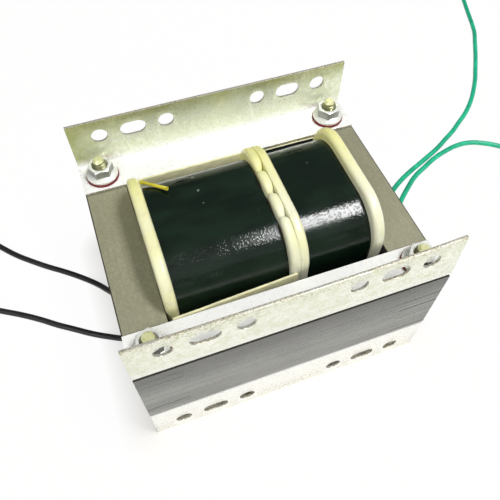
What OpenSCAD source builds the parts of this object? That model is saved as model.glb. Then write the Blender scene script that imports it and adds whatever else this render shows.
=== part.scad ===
// High-voltage transformer: a laminated core with two bobbins side by side on its
// tongue, four bolts through the core and four drilled angle brackets as feet.
// The coil axis lies along X, the front faces -Y and the feet stand on Z = 0.

/* [Core] */
// Width of the centre tongue that carries the bobbins
tongue_w = 30; // [26:1:36]
// Width of each window, from tongue to outer leg
window_w = 15; // [14:0.5:20]
// Length of each window, from yoke to yoke
window_l = 78; // [72:1:96]
// Width of each outer leg
leg_w = 15; // [14.5:0.5:20]
// Width of each yoke
yoke_w = 15; // [14.5:0.5:20]
// Height of the stack of sheets
stack_h = 34; // [28:1:44]
// Packets in the stack, each of four sheets laid the same way
packet_count = 17; // [13:1:21]
// Varnish film between two packets
film_t = 0.04; // [0.02:0.01:0.1]

/* [Brackets] */
// Sheet thickness of the angle brackets
bracket_t = 1; // [0.8:0.1:2]
// Inside radius of the bend
bend_r = 0.8; // [0.5:0.1:2]
// Height of the drilled flange, from the core to its free edge
flange_h = 21; // [19:0.5:28]
// Height of the hole row above the core
hole_row_h = 14; // [11:0.5:15]
// Diameter of the round holes and width of the slots
hole_d = 6; // [4.5:0.1:7]
// Length of the slots from end to end
slot_l = 9.6; // [8:0.1:11]
// Distance from the bracket's end to its first hole
hole_margin = 11; // [8:0.5:14]
// Distance from hole to slot and from slot to hole
hole_pitch = 12.5; // [11:0.5:13]

/* [Fasteners] */
// Diameter of the clamp bolts
bolt_d = 5; // [4:0.5:5.5]
// Width across flats of bolt heads and nuts
hex_af = 8; // [7.5:0.5:10]
// Height of the bolt heads
head_h = 3.5; // [2.5:0.1:5]
// Height of the flange nuts
nut_h = 5; // [4:0.1:6]
// Diameter of the nut's flange
nut_flange_d = 11.6; // [11:0.1:12]
// Thickness of the nut's flange at its rim
nut_flange_t = 1; // [0.8:0.1:1.4]
// Length of bolt that stands out of the nut
tip_out = 3; // [2:0.5:3.5]
// Diameter of the fibre washers
washer_d = 12.2; // [12:0.1:13.5]
// Gap between a washer and the bend of its bracket
washer_gap = 0.1; // [0.05:0.05:1]
// Thickness of the fibre washers
washer_t = 1; // [0.8:0.1:1.5]
// Wall of the insulating sleeve round each bolt
sleeve_wall = 0.5; // [0.3:0.05:0.8]
// Gap round the bolts, both inside and outside the sleeve
bolt_clear = 0.15; // [0.1:0.05:0.3]

/* [Bobbins] */
// Gap between the tongue and the inside of a bobbin
tongue_clear = 0.3; // [0.1:0.1:0.8]
// Wall of the bobbin's tube
bobbin_wall = 1.5; // [1:0.1:2.5]
// Thickness of the bobbin flanges next to the yokes
rim_t = 4.2; // [3.6:0.1:5.5]
// Thickness of the two bobbin flanges that meet in the middle
inner_rim_t = 3.4; // [3.4:0.1:4.6]
// Gap between a bobbin flange and the outer leg
leg_gap = 3; // [2:0.25:4]
// Height of the bobbin flanges above the core
rim_rise = 15.8; // [13:0.2:17]
// Corner radius of the flange outline
rim_corner_r = 15; // [12:0.5:18]
// Radius on the edges of the flange
rim_edge_r = 1.6; // [0.8:0.1:1.6]
// Radius on the edges of the two flanges where they meet in the middle
seam_edge_r = 0.4; // [0.2:0.1:0.8]
// Gap between the bobbins and the yokes
yoke_gap = 0.2; // [0.1:0.1:0.6]
// Length of the left bobbin over its flanges
left_bobbin_l = 46.4; // [38:0.2:52]
// Notches in the rim of the left bobbin's inner flange
notch_count = 3; // [1:1:3]
// Distance from notch to notch along the rim
notch_pitch = 10.6; // [8:0.2:11]
// Distance of the middle notch from the top of the rim
notch_shift = -1.6; // [-4:0.2:4]
// Depth of a notch between two round pads
notch_depth = 2.4; // [1.5:0.1:3]

/* [Windings] */
// Depth of the outer wrap inside the bobbin rims, at front and rear
wrap_step = 1.6; // [1:0.1:3]
// Depth of the outer wrap inside the bobbin rims, at top and bottom
wrap_drop = 3.4; // [2:0.1:5]
// Corner radius of the wrap's outline
wrap_corner_r = 15.4; // [12:0.2:17]
// Thickness of the outer wrap
wrap_t = 0.6; // [0.3:0.1:1.2]
// Thickness of the window liners
liner_t = 0.8; // [0.5:0.1:1.2]
// Height of the left front liner above the core
front_liner_rise = 1; // [0:0.5:3]
// Height of the left rear liner above the core
rear_liner_rise = 2; // [0:0.5:4]
// Distance of the liners from the ends of their bobbin
liner_inset = 1.4; // [1:0.1:1.8]
// Diameter of the sleeve on the winding's start
start_sleeve_d = 1.4; // [1:0.1:2]
// Length of the start sleeve along the coil
start_sleeve_l = 8.2; // [6:0.2:14]

/* [Leads] */
// Diameter of the leads
lead_d = 2.5; // [2:0.1:2.8]
// Gap round a lead in its hole
lead_clear = 0.2; // [0.1:0.05:0.4]
// Place across the coil of the rear lead of each pair
rear_lead_y = 5; // [3:0.5:8]
// Place across the coil of the front lead of each pair
front_lead_y = -10; // [-12:0.5:-6]
// Depth of the lead holes below the core
lead_drop = 8; // [6.5:0.5:9]
// Length of a lead that comes straight out of its hole
lead_straight = 1.2; // [0.5:0.1:3]
// Radius of a black lead's put-away coil over its outermost turn
black_coil_r = 16.6; // [15:0.1:18]
// Width of a black lead's turns in its coil
black_coil_w = 6.3; // [5:0.1:7]
// Radius of a green lead's put-away coil over its outermost turn
green_coil_r = 15; // [14:0.1:17]
// Width of a green lead's turns in its coil
green_coil_w = 4.9; // [3:0.1:6]
// Thickness of the tie round a put-away coil
tie_t = 0.4; // [0.2:0.1:0.8]
// Width of the tie
tie_w = 3; // [2:0.5:5]
// Diameter of the tinned wire ends
tinned_d = 1.3; // [0.8:0.1:1.6]
// Length of the tinned wire ends
tinned_l = 6; // [4:0.5:8]

/* [Hidden] */
$fn = 64;
// Amount by which a cutting shape runs past the face it cuts
over = 1;
// Least half length of the straight sides of the flanges and the wraps
rim_flat = 1;
// Gap between a wire or sleeve and the coil that it lies against
lie_gap = 0.05;
// Height of a pad's round top over the rim, which leaves the pad's middle flat
pad_swell = 0.25;

packet_h = stack_h / packet_count;
core_l = window_l + 2 * yoke_w;
core_w = tongue_w + 2 * window_w + 2 * leg_w;
core_z = flange_h;
core_top = core_z + stack_h;
mid_z = core_z + stack_h / 2;

bolt_inset = bracket_t + bend_r + washer_d / 2 + washer_gap;
bolt_x = core_l / 2 - bolt_inset;
bolt_y = core_w / 2 - bolt_inset;
sleeve_id = bolt_d + 2 * bolt_clear;
sleeve_od = sleeve_id + 2 * sleeve_wall;
bolt_hole_d = sleeve_od + 2 * bolt_clear;
clamp_h = stack_h + 2 * bracket_t;

slot_x = core_l / 2 - hole_margin - hole_pitch;

leg_y = tongue_w / 2 + window_w;
rim_half_y = leg_y - leg_gap;
rim_half_z = stack_h / 2 + rim_rise;
rim_r = min(rim_corner_r, rim_half_y - rim_flat, rim_half_z - rim_flat);
tube_half_y = tongue_w / 2 + tongue_clear + bobbin_wall;
tube_half_z = stack_h / 2 + tongue_clear + bobbin_wall;
bobbin_x0 = -window_l / 2 + yoke_gap;
seam_x = bobbin_x0 + left_bobbin_l;
bobbin_x1 = window_l / 2 - yoke_gap;
left_coil = [bobbin_x0 + rim_t, seam_x - inner_rim_t];
right_coil = [seam_x + inner_rim_t, bobbin_x1 - rim_t];
wrap_half_y = rim_half_y - wrap_step;
wrap_half_z = rim_half_z - wrap_drop;
wrap_r = min(wrap_corner_r, wrap_half_y - rim_flat, wrap_half_z - rim_flat);
lead_r = lead_d / 2;
lead_z = core_z - lead_drop;

// Routes of the leads, from the winding's end to the last point before the coil
black_route_1 = [
    [left_coil[0], rear_lead_y, lead_z], [bobbin_x0 - lead_straight, rear_lead_y, lead_z],
    [-46, 6, 12.5], [-51, 9, 10.5], [-55, 14, 7], [-58.5, 20, 3.5], [-63, 26.5, 1.6],
    [-69, 32.5, 1.25], [-75.5, 38, 1.25], [-82, 43, 1.25], [-88.5, 48.5, 1.25],
    [-94.5, 54, 1.25], [-99.5, 59.5, 1.25], [-104, 65, 1.25], [-108.5, 71, 1.25]
];
black_route_2 = [
    [left_coil[0], front_lead_y, lead_z], [bobbin_x0 - lead_straight, front_lead_y, lead_z],
    [-46, -9.5, 12], [-51.5, -7.5, 8.5], [-57, -4.5, 4], [-63, -0.5, 1.7],
    [-69.5, 3.5, 1.25], [-76, 8, 1.25], [-82.5, 12.5, 1.25], [-89, 17.5, 1.25],
    [-95.5, 22, 1.25], [-102, 26, 1.25], [-109, 30, 1.25], [-116, 32.5, 1.25], [-123, 34, 1.25]
];
green_route_1 = [
    [right_coil[1], rear_lead_y, lead_z], [bobbin_x1 + lead_straight, rear_lead_y, lead_z],
    [46, 5.5, 12.5], [52, 7.5, 11], [58, 10.5, 8.5], [64, 14, 5.5], [70.5, 18.5, 3],
    [77, 23.5, 1.6], [84, 28.5, 1.25], [91.5, 33.5, 1.25], [99, 37.5, 1.25],
    [107, 41, 1.25], [115, 44.5, 1.25], [122.5, 48, 1.25], [129.5, 52, 1.25],
    [136.5, 56, 1.25], [143, 60.5, 1.25], [149.5, 65, 1.25], [155.5, 70, 1.25],
    [161.5, 76, 1.25], [167, 82.5, 1.25], [172, 89, 1.25], [177, 96.5, 1.25],
    [182, 104, 1.25], [187, 112, 1.25], [191.5, 119.5, 1.25], [196, 127, 1.25],
    [199.5, 135, 1.25], [202.5, 143, 1.25], [205.5, 151, 1.25], [208, 157.5, 1.25], [210.5, 164, 1.25]
];
green_route_2 = [
    [right_coil[1], front_lead_y, lead_z], [bobbin_x1 + lead_straight, front_lead_y, lead_z],
    [46, -9.5, 12], [52, -7.5, 9.5], [58, -4, 6.5], [64.5, 0.5, 3.8], [71.5, 7, 2],
    [78.5, 14.5, 1.4], [86, 22, 1.25], [93.5, 28.5, 1.25], [101.5, 34.5, 1.25],
    [109.5, 38.5, 1.25], [117, 42, 1.25], [125, 44.5, 1.25], [133, 46, 1.25],
    [140.5, 45.5, 1.25], [147.5, 42.5, 1.25], [154, 38, 1.25], [160, 32.5, 1.25], [165.5, 27, 1.25]
];
// Put-away coils: route, radius, width of the turns, and compass angles of tie and wire end
black_put_1 = [black_route_1, black_coil_r, black_coil_w, 200, 293];
black_put_2 = [black_route_2, black_coil_r, black_coil_w, 200, 340];
green_put_2 = [green_route_2, green_coil_r, green_coil_w, 260, 290];

// Helpers

// Repeats its child at the four clamp bolts
module at_bolts() {
    for (x = [-bolt_x, bolt_x], y = [-bolt_y, bolt_y])
        translate([x, y, 0]) children();
}

// Stands a flat shape in the YZ plane and gives it depth along X
module along_x(x0, x1) {
    translate([x0, 0, 0]) rotate([90, 0, 90]) linear_extrude(x1 - x0) children();
}

// Rectangle about the coil axis with rounded corners
module coil_outline(half_y, half_z, r) {
    translate([0, mid_z]) {
        square([2 * (half_y - r), 2 * half_z], center = true);
        square([2 * half_y, 2 * (half_z - r)], center = true);
        for (y = [r - half_y, half_y - r], z = [r - half_z, half_z - r])
            translate([y, z]) circle(r);
    }
}

// Hexagon prism with its top corners turned off
module hexagon(h) {
    flat_r = hex_af / 2;
    corner_r = flat_r / cos(30);
    cut_r = corner_r + over;
    bevel_slope = tan(30);
    intersection() {
        cylinder(r = corner_r, h = h, $fn = 6);
        rotate_extrude()
            polygon([[0, 0], [cut_r, 0], [cut_r, h - (cut_r - flat_r) * bevel_slope], [flat_r, h], [0, h]]);
    }
}

function unit(v) = v / norm(v);

// Direction of a route at one of its points
function heading(route, i) =
    unit(route[min(i + 1, len(route) - 1)] - route[max(i - 1, 0)]);

// Corners of a tube's ring round one point of its route
function ring(route, i, r, sides) =
    let (ahead = heading(route, i), side = unit(cross(ahead, [0, 0, 1])), above = cross(side, ahead))
    [for (k = [0 : sides - 1])
        route[i] + r * (cos(360 * k / sides) * side + sin(360 * k / sides) * above)];

// Closed tube along a route
module tube(route, r, sides = 8) {
    last = len(route) - 1;
    corners = [for (i = [0 : last]) each ring(route, i, r, sides)];
    walls = [for (i = [0 : last - 1], k = [0 : sides - 1])
        let (a = i * sides + k, b = i * sides + (k + 1) % sides)
        [a, b, b + sides, a + sides]];
    start_cap = [for (k = [sides - 1 : -1 : 0]) k];
    end_cap = [for (k = [0 : sides - 1]) last * sides + k];
    polyhedron(points = corners, faces = concat(walls, [start_cap, end_cap]), convexity = 6);
}

// Core

// Holes for the clamp bolts in a core sheet
module sheet_holes() {
    for (x = [-bolt_x, bolt_x], y = [-bolt_y, bolt_y])
        translate([x, y]) circle(d = bolt_hole_d);
}

// E-shaped sheet: one yoke, the tongue and both outer legs
module e_sheet() {
    difference() {
        translate([-core_l / 2, -core_w / 2]) square([core_l - yoke_w, core_w]);
        for (y = [-tongue_w / 2 - window_w, tongue_w / 2])
            translate([-window_l / 2, y]) square([window_l + over, window_w]);
        sheet_holes();
    }
}

// I-shaped sheet that closes the open end of an E
module i_sheet() {
    difference() {
        translate([core_l / 2 - yoke_w, -core_w / 2]) square([yoke_w, core_w]);
        sheet_holes();
    }
}

// Stack of packets, each one turned end for end from the one below
module stack() {
    for (k = [0 : packet_count - 1])
        translate([0, 0, core_z + k * packet_h + film_t / 2])
            mirror([k % 2, 0, 0])
                linear_extrude(packet_h - film_t) children();
}

module e_laminations() { color("#6f6e63") stack() e_sheet(); }

module i_laminations() { color("#7b796d") stack() i_sheet(); }

// Brackets

// Section of an angle bracket: seat on the core, bend and upright flange
module bracket_section() {
    bend_out = bend_r + bracket_t;
    translate([bend_out, 0]) square([leg_w - bend_out, bracket_t]);
    translate([0, bend_out]) square([bracket_t, flange_h - bend_out]);
    intersection() {
        square(bend_out);
        translate([bend_out, bend_out]) difference() {
            circle(bend_out);
            circle(bend_r);
        }
    }
}

// Round hole through the upright flange, along Y
module flange_hole(x) {
    translate([x, over, hole_row_h]) rotate([90, 0, 0])
        cylinder(d = hole_d, h = bracket_t + 3 * over, center = true);
}

// Slot through the upright flange: two round ends and the straight part between
module flange_slot(x) {
    reach = (slot_l - hole_d) / 2;
    flange_hole(x - reach);
    flange_hole(x + reach);
    translate([x - reach, -over, hole_row_h - hole_d / 2])
        cube([2 * reach, bracket_t + 2 * over, hole_d]);
}

// Bracket on the front edge of the core's top
module angle_bracket() {
    translate([0, -core_w / 2, core_top]) difference() {
        along_x(-core_l / 2, core_l / 2) bracket_section();
        for (s = [-1, 1]) {
            flange_hole(s * (slot_x + hole_pitch));
            flange_slot(s * slot_x);
            flange_hole(s * (slot_x - hole_pitch));
            translate([s * bolt_x, bolt_inset, -over])
                cylinder(d = bolt_hole_d, h = bracket_t + 2 * over);
        }
    }
}

// Turns a piece of the top over to the underside of the core
module underside() {
    translate([0, 0, 2 * mid_z]) mirror([0, 0, 1]) children();
}

module front_upper_bracket() { color("#d3d0bd") angle_bracket(); }

module rear_upper_bracket() { color("#d3d0bd") mirror([0, 1, 0]) angle_bracket(); }

module front_lower_bracket() { color("#d3d0bd") underside() angle_bracket(); }

module rear_lower_bracket() { color("#d3d0bd") underside() mirror([0, 1, 0]) angle_bracket(); }

// Fasteners

// Bolt from below, with its head down and a rounded tip
module clamp_bolts() {
    head_z = core_z - bracket_t - washer_t - head_h;
    tip_z = core_top + bracket_t + washer_t + nut_h + tip_out;
    tip_r = bolt_d / 5;
    color("#c9b65a") at_bolts() {
        translate([0, 0, head_z + head_h]) mirror([0, 0, 1]) hexagon(head_h);
        translate([0, 0, head_z + head_h / 2]) {
            cylinder(d = bolt_d, h = tip_z - tip_r - head_z - head_h / 2);
            translate([0, 0, tip_z - tip_r - head_z - head_h / 2])
                cylinder(d1 = bolt_d, d2 = bolt_d - 2 * tip_r, h = tip_r);
        }
    }
}

module bolt_sleeves() {
    color("#e8e2cf") at_bolts() translate([0, 0, core_z - bracket_t]) difference() {
        cylinder(d = sleeve_od, h = clamp_h);
        translate([0, 0, -over]) cylinder(d = sleeve_id, h = clamp_h + 2 * over);
    }
}

module fibre_washers() {
    color("#a02836") at_bolts()
        for (z = [core_z - bracket_t - washer_t, core_top + bracket_t])
            translate([0, 0, z]) difference() {
                cylinder(d = washer_d, h = washer_t);
                translate([0, 0, -over]) cylinder(d = sleeve_id, h = washer_t + 2 * over);
            }
}

// Hexagon nut with a sloping round flange
module flange_nuts() {
    color("#c7c9bd") at_bolts() translate([0, 0, core_top + bracket_t + washer_t]) difference() {
        union() {
            cylinder(d = nut_flange_d, h = nut_flange_t);
            translate([0, 0, nut_flange_t])
                cylinder(d1 = nut_flange_d, d2 = hex_af, h = (nut_flange_d - hex_af) / 4);
            hexagon(nut_h);
        }
        translate([0, 0, -over]) cylinder(d = sleeve_id, h = nut_h + 2 * over);
    }
}

// Bobbins

// Half section of a bobbin flange t thick, from inside to its edges of radius r0 and r1
module rim_section(t, r0, r1) {
    square([rim_r - r0, t / 2]);
    translate([0, t / 2]) square([rim_r - r1, t / 2]);
    translate([0, r0]) square([rim_r, t - r0 - r1]);
    translate([rim_r - r0, r0]) circle(r0);
    translate([rim_r - r1, t - r1]) circle(r1);
}

// Bobbin flange: four turned corners, four straight sides and the plate between
module rim_plate(t, r0, r1) {
    flat_y = rim_half_y - rim_r;
    flat_z = rim_half_z - rim_r;
    translate([-flat_y, -flat_z, 0]) cube([2 * flat_y, 2 * flat_z, t]);
    for (y = [0, 1], z = [0, 1])
        mirror([y, 0, 0]) mirror([0, z, 0])
            translate([flat_y, flat_z, 0]) rotate_extrude(angle = 90) rim_section(t, r0, r1);
    for (y = [0, 1])
        mirror([y, 0, 0]) translate([flat_y, flat_z, 0])
            rotate([90, 0, 0]) linear_extrude(2 * flat_z) rim_section(t, r0, r1);
    for (z = [0, 1])
        mirror([0, z, 0]) translate([-flat_y, flat_z, 0])
            rotate([90, 0, 90]) linear_extrude(2 * flat_y) rim_section(t, r0, r1);
}

// Tube with a flange at each end, t0 and t1 thick with end edges of radius r0 and r1, open for the tongue
module bobbin(x0, x1, t0, t1, r0, r1) {
    difference() {
        union() {
            translate([x0, 0, mid_z]) rotate([90, 0, 90]) rim_plate(t0, r0, rim_edge_r);
            translate([x1 - t1, 0, mid_z]) rotate([90, 0, 90]) rim_plate(t1, rim_edge_r, r1);
            translate([x0, -tube_half_y, mid_z - tube_half_z])
                cube([x1 - x0, 2 * tube_half_y, 2 * tube_half_z]);
        }
        translate([x0 - over, bobbin_wall - tube_half_y, mid_z - tube_half_z + bobbin_wall])
            cube([x1 - x0 + 2 * over, 2 * (tube_half_y - bobbin_wall), 2 * (tube_half_z - bobbin_wall)]);
    }
}

// Holes for a pair of leads through the flange that starts at x0
module lead_holes(x0) {
    for (y = [front_lead_y, rear_lead_y])
        translate([x0 - over, y, lead_z]) rotate([0, 90, 0])
            cylinder(r = lead_r + lead_clear, h = rim_t + 2 * over);
}

// Moves its child to the upper rim, at a distance s along it from its top
module on_rim(s) {
    flat_y = rim_half_y - rim_r;
    turn = max(abs(s) - flat_y, 0) / rim_r * 180 / PI;
    translate([sign(s) * min(abs(s), flat_y), mid_z + rim_half_z - rim_r])
        rotate(-sign(s) * turn) translate([0, rim_r]) children();
}

// Gap between two round pads
module notch() {
    dip = notch_depth + pad_swell;
    reach = notch_pitch / 2;
    pad_r = (pow(reach, 2) + pow(dip, 2)) / (2 * dip);
    difference() {
        translate([-reach, -dip]) square([2 * reach, dip + over]);
        for (y = [-reach, reach])
            translate([y, pad_swell - pad_r]) circle(pad_r);
    }
}

module left_bobbin() {
    color("#e6e2b4") difference() {
        bobbin(bobbin_x0, seam_x, rim_t, inner_rim_t, rim_edge_r, seam_edge_r);
        lead_holes(bobbin_x0);
        for (k = [0 : notch_count - 1])
            along_x(left_coil[1] - over, seam_x + over)
                on_rim(notch_shift + (k - (notch_count - 1) / 2) * notch_pitch) notch();
    }
}

module right_bobbin() {
    color("#ece9c4") difference() {
        bobbin(seam_x, bobbin_x1, inner_rim_t, rim_t, seam_edge_r, rim_edge_r);
        lead_holes(bobbin_x1 - rim_t);
    }
}

// Windings

// Outline of a wrap, or of a layer at a depth below its surface
module wrap_outline(depth = 0) {
    coil_outline(wrap_half_y - depth, wrap_half_z - depth, wrap_r - depth);
}

// Wrap round a winding
module wrap(span) {
    along_x(span[0], span[1]) difference() {
        wrap_outline();
        wrap_outline(wrap_t);
    }
}

// Copper that fills the bobbin from its tube to the wrap
module winding(span) {
    along_x(span[0], span[1]) difference() {
        wrap_outline(wrap_t);
        translate([0, mid_z]) square([2 * tube_half_y, 2 * tube_half_z], center = true);
    }
}

module left_winding() { color("#b06a35") winding(left_coil); }

module right_winding() { color("#b06a35") winding(right_coil); }

module left_wrap() { color("#16181a") wrap(left_coil); }

module right_wrap() { color("#16181a") wrap(right_coil); }

// Sheet that stands in the rear window with its outside at y0 on the left and y1 on the right
module liner(x0, x1, y0, y1, rise) {
    left = x0 + liner_inset;
    right = x1 - liner_inset;
    translate([0, 0, core_z - rise]) linear_extrude(stack_h + 2 * rise)
        polygon([[left, y0 - liner_t], [right, y1 - liner_t], [right, y1], [left, y0]]);
}

// Slanting liner, from the outer leg on the left to the notched flange on the right
module left_front_liner() {
    color("#ded9a8") mirror([0, 1, 0])
        liner(bobbin_x0, seam_x, leg_y, rim_half_y + liner_t, front_liner_rise);
}

module left_rear_liner() { color("#ded9a8") liner(bobbin_x0, seam_x, leg_y, leg_y, rear_liner_rise); }

module right_rear_liner() { color("#ded9a8") liner(seam_x, bobbin_x1, leg_y, leg_y, 0); }

// Straight sleeve on the winding's start, lying across the wrap's upper rear corner
module start_sleeve() {
    lie_turn = 24;
    across = 5.4;
    sleeve_r = start_sleeve_d / 2;
    reach = wrap_r + sleeve_r + lie_gap;
    touch = [
        wrap_half_y - wrap_r + reach * sin(lie_turn),
        mid_z + wrap_half_z - wrap_r + reach * cos(lie_turn)
    ];
    slope = across * [cos(lie_turn), -sin(lie_turn)];
    color("#d8c94e") tube([
        [left_coil[0] + sleeve_r, each touch + slope],
        [left_coil[0] + start_sleeve_l, each touch - slope]
    ], sleeve_r);
}

// Leads

module black_lead_1() { color("#1b1a1c") tube(black_route_1, lead_r); }

module black_lead_2() { color("#1b1a1c") tube(black_route_2, lead_r); }

module green_lead_1() { color("#17a077") tube(green_route_1, lead_r); }

module green_lead_2() { color("#17a077") tube(green_route_2, lead_r); }

// Middle of a put-away coil, on the left of its route's last heading
function coil_middle(put) =
    let (route = put[0], last = len(route) - 1, ahead = heading(route, last), reach = put[1] + lead_r)
    [route[last][0] - ahead[1] * reach, route[last][1] + ahead[0] * reach, tie_t];

// Radius of the hole in a put-away coil
function coil_hole_r(put) = put[1] - put[2];

// Put-away coil: the outer shape of its flat turns
module lead_coil(put) {
    coil_r = put[1];
    hole_r = coil_hole_r(put);
    translate(coil_middle(put)) rotate_extrude() {
        translate([hole_r + lead_r, 0]) square([coil_r - hole_r - lead_d, lead_d]);
        for (x = [hole_r + lead_r, coil_r - lead_r])
            translate([x, lead_r]) circle(lead_r);
    }
}

module black_coil_1() { color("#1b1a1c") lead_coil(black_put_1); }

module black_coil_2() { color("#1b1a1c") lead_coil(black_put_2); }

module green_coil_2() { color("#17a077") lead_coil(green_put_2); }

// Flat band round one side of a coil
module coil_tie(put) {
    slack = 0.1;
    wide = put[2] + 2 * slack;
    translate(coil_middle(put)) rotate([0, 0, put[3]])
        translate([coil_hole_r(put) - slack, -tie_w / 2, 0]) difference() {
            translate([-tie_t, 0, -tie_t]) cube([wide + 2 * tie_t, tie_w, lead_d + 2 * tie_t]);
            translate([0, -over, 0]) cube([wide, tie_w + 2 * over, lead_d]);
        }
}

module coil_ties() {
    color("#e9e9e6") for (put = [black_put_1, black_put_2, green_put_2]) coil_tie(put);
}

// Bare end that lies against the inside of a coil
module coiled_end(put) {
    chord_r = sqrt(pow(coil_hole_r(put) - tinned_d / 2, 2) - pow(tinned_l / 2, 2)) - lie_gap;
    translate(coil_middle(put)) rotate([0, 0, put[4]]) translate([chord_r, 0, lead_r])
        rotate([90, 0, 0]) cylinder(d = tinned_d, h = tinned_l, center = true);
}

module tinned_ends() {
    last = len(green_route_1) - 1;
    ahead = heading(green_route_1, last);
    color("#cfcfcb") {
        for (put = [black_put_1, black_put_2, green_put_2]) coiled_end(put);
        translate(green_route_1[last]) rotate([0, 90, atan2(ahead[1], ahead[0])])
            cylinder(d = tinned_d, h = tinned_l);
    }
}

e_laminations();
i_laminations();
front_upper_bracket();
rear_upper_bracket();
front_lower_bracket();
rear_lower_bracket();
clamp_bolts();
bolt_sleeves();
fibre_washers();
flange_nuts();
left_bobbin();
right_bobbin();
left_winding();
right_winding();
left_wrap();
right_wrap();
left_front_liner();
left_rear_liner();
right_rear_liner();
start_sleeve();
black_lead_1();
black_lead_2();
green_lead_1();
green_lead_2();
black_coil_1();
black_coil_2();
green_coil_2();
coil_ties();
tinned_ends();
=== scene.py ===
"""Models and finishes an open-frame high-voltage transformer on its CAD frame."""

import math
import random
from contextlib import contextmanager

import bmesh
import bpy
from bpy.props import FloatProperty, FloatVectorProperty, IntProperty, PointerProperty
from mathutils import Matrix, Vector, noise


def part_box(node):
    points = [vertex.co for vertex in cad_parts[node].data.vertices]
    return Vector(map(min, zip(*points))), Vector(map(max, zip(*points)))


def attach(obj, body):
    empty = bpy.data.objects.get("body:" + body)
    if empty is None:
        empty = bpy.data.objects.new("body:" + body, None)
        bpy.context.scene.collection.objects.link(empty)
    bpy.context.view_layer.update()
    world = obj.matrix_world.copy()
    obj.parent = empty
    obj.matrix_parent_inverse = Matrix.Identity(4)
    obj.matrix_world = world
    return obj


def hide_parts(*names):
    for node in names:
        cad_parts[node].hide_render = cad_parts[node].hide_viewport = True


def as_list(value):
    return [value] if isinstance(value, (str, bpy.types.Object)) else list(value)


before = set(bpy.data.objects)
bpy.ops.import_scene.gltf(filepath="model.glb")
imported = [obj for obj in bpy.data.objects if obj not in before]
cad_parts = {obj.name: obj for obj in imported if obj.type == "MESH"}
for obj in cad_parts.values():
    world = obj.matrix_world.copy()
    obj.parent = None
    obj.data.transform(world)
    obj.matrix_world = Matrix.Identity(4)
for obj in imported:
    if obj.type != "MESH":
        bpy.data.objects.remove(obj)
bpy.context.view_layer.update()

bl_info = {
    "name": "High-voltage transformer",
    "version": (1, 0, 0),
    "blender": (4, 5, 0),
    "location": "3D View > Sidebar > Transformer",
    "description": "Models and finishes an open-frame high-voltage transformer on its CAD frame",
    "category": "Object",
}

MM = 0.001
SAME_PLACE = 1e-6
QUARTER_TURN = math.pi / 2
SMOOTH_BELOW = math.radians(35)
# How much of its normal a face has along an axis that it looks along squarely, or more than not
SQUARE_ON, HALF_ON = 0.9, 0.5

# Places taken from the frame
CORE_LOW, CORE_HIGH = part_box("e_laminations")
SEAT_LOW, SEAT_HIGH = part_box("front_upper_bracket")
SLEEVE_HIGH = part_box("bolt_sleeves")[1]
BOLT_LOW, BOLT_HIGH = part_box("clamp_bolts")
NUT_LOW, NUT_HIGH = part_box("flange_nuts")
WASHER_LOW, WASHER_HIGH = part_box("fibre_washers")
LEFT_LOW, LEFT_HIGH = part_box("left_bobbin")
RIGHT_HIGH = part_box("right_bobbin")[1]
MID_Z = (LEFT_LOW.z + LEFT_HIGH.z) / 2
SEAM_X = LEFT_HIGH.x
RIM_HALF_Y, RIM_HALF_Z = LEFT_HIGH.y, LEFT_HIGH.z - MID_Z

# Axes of the four clamp bolts, which are those of their sleeves
SLEEVE_R = 0.00315
BOLT_X, BOLT_Y = SLEEVE_HIGH.x - SLEEVE_R, SLEEVE_HIGH.y - SLEEVE_R
BOLT_PLACES = [Vector((x, y, 0)) for x in (-BOLT_X, BOLT_X) for y in (-BOLT_Y, BOLT_Y)]

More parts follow.
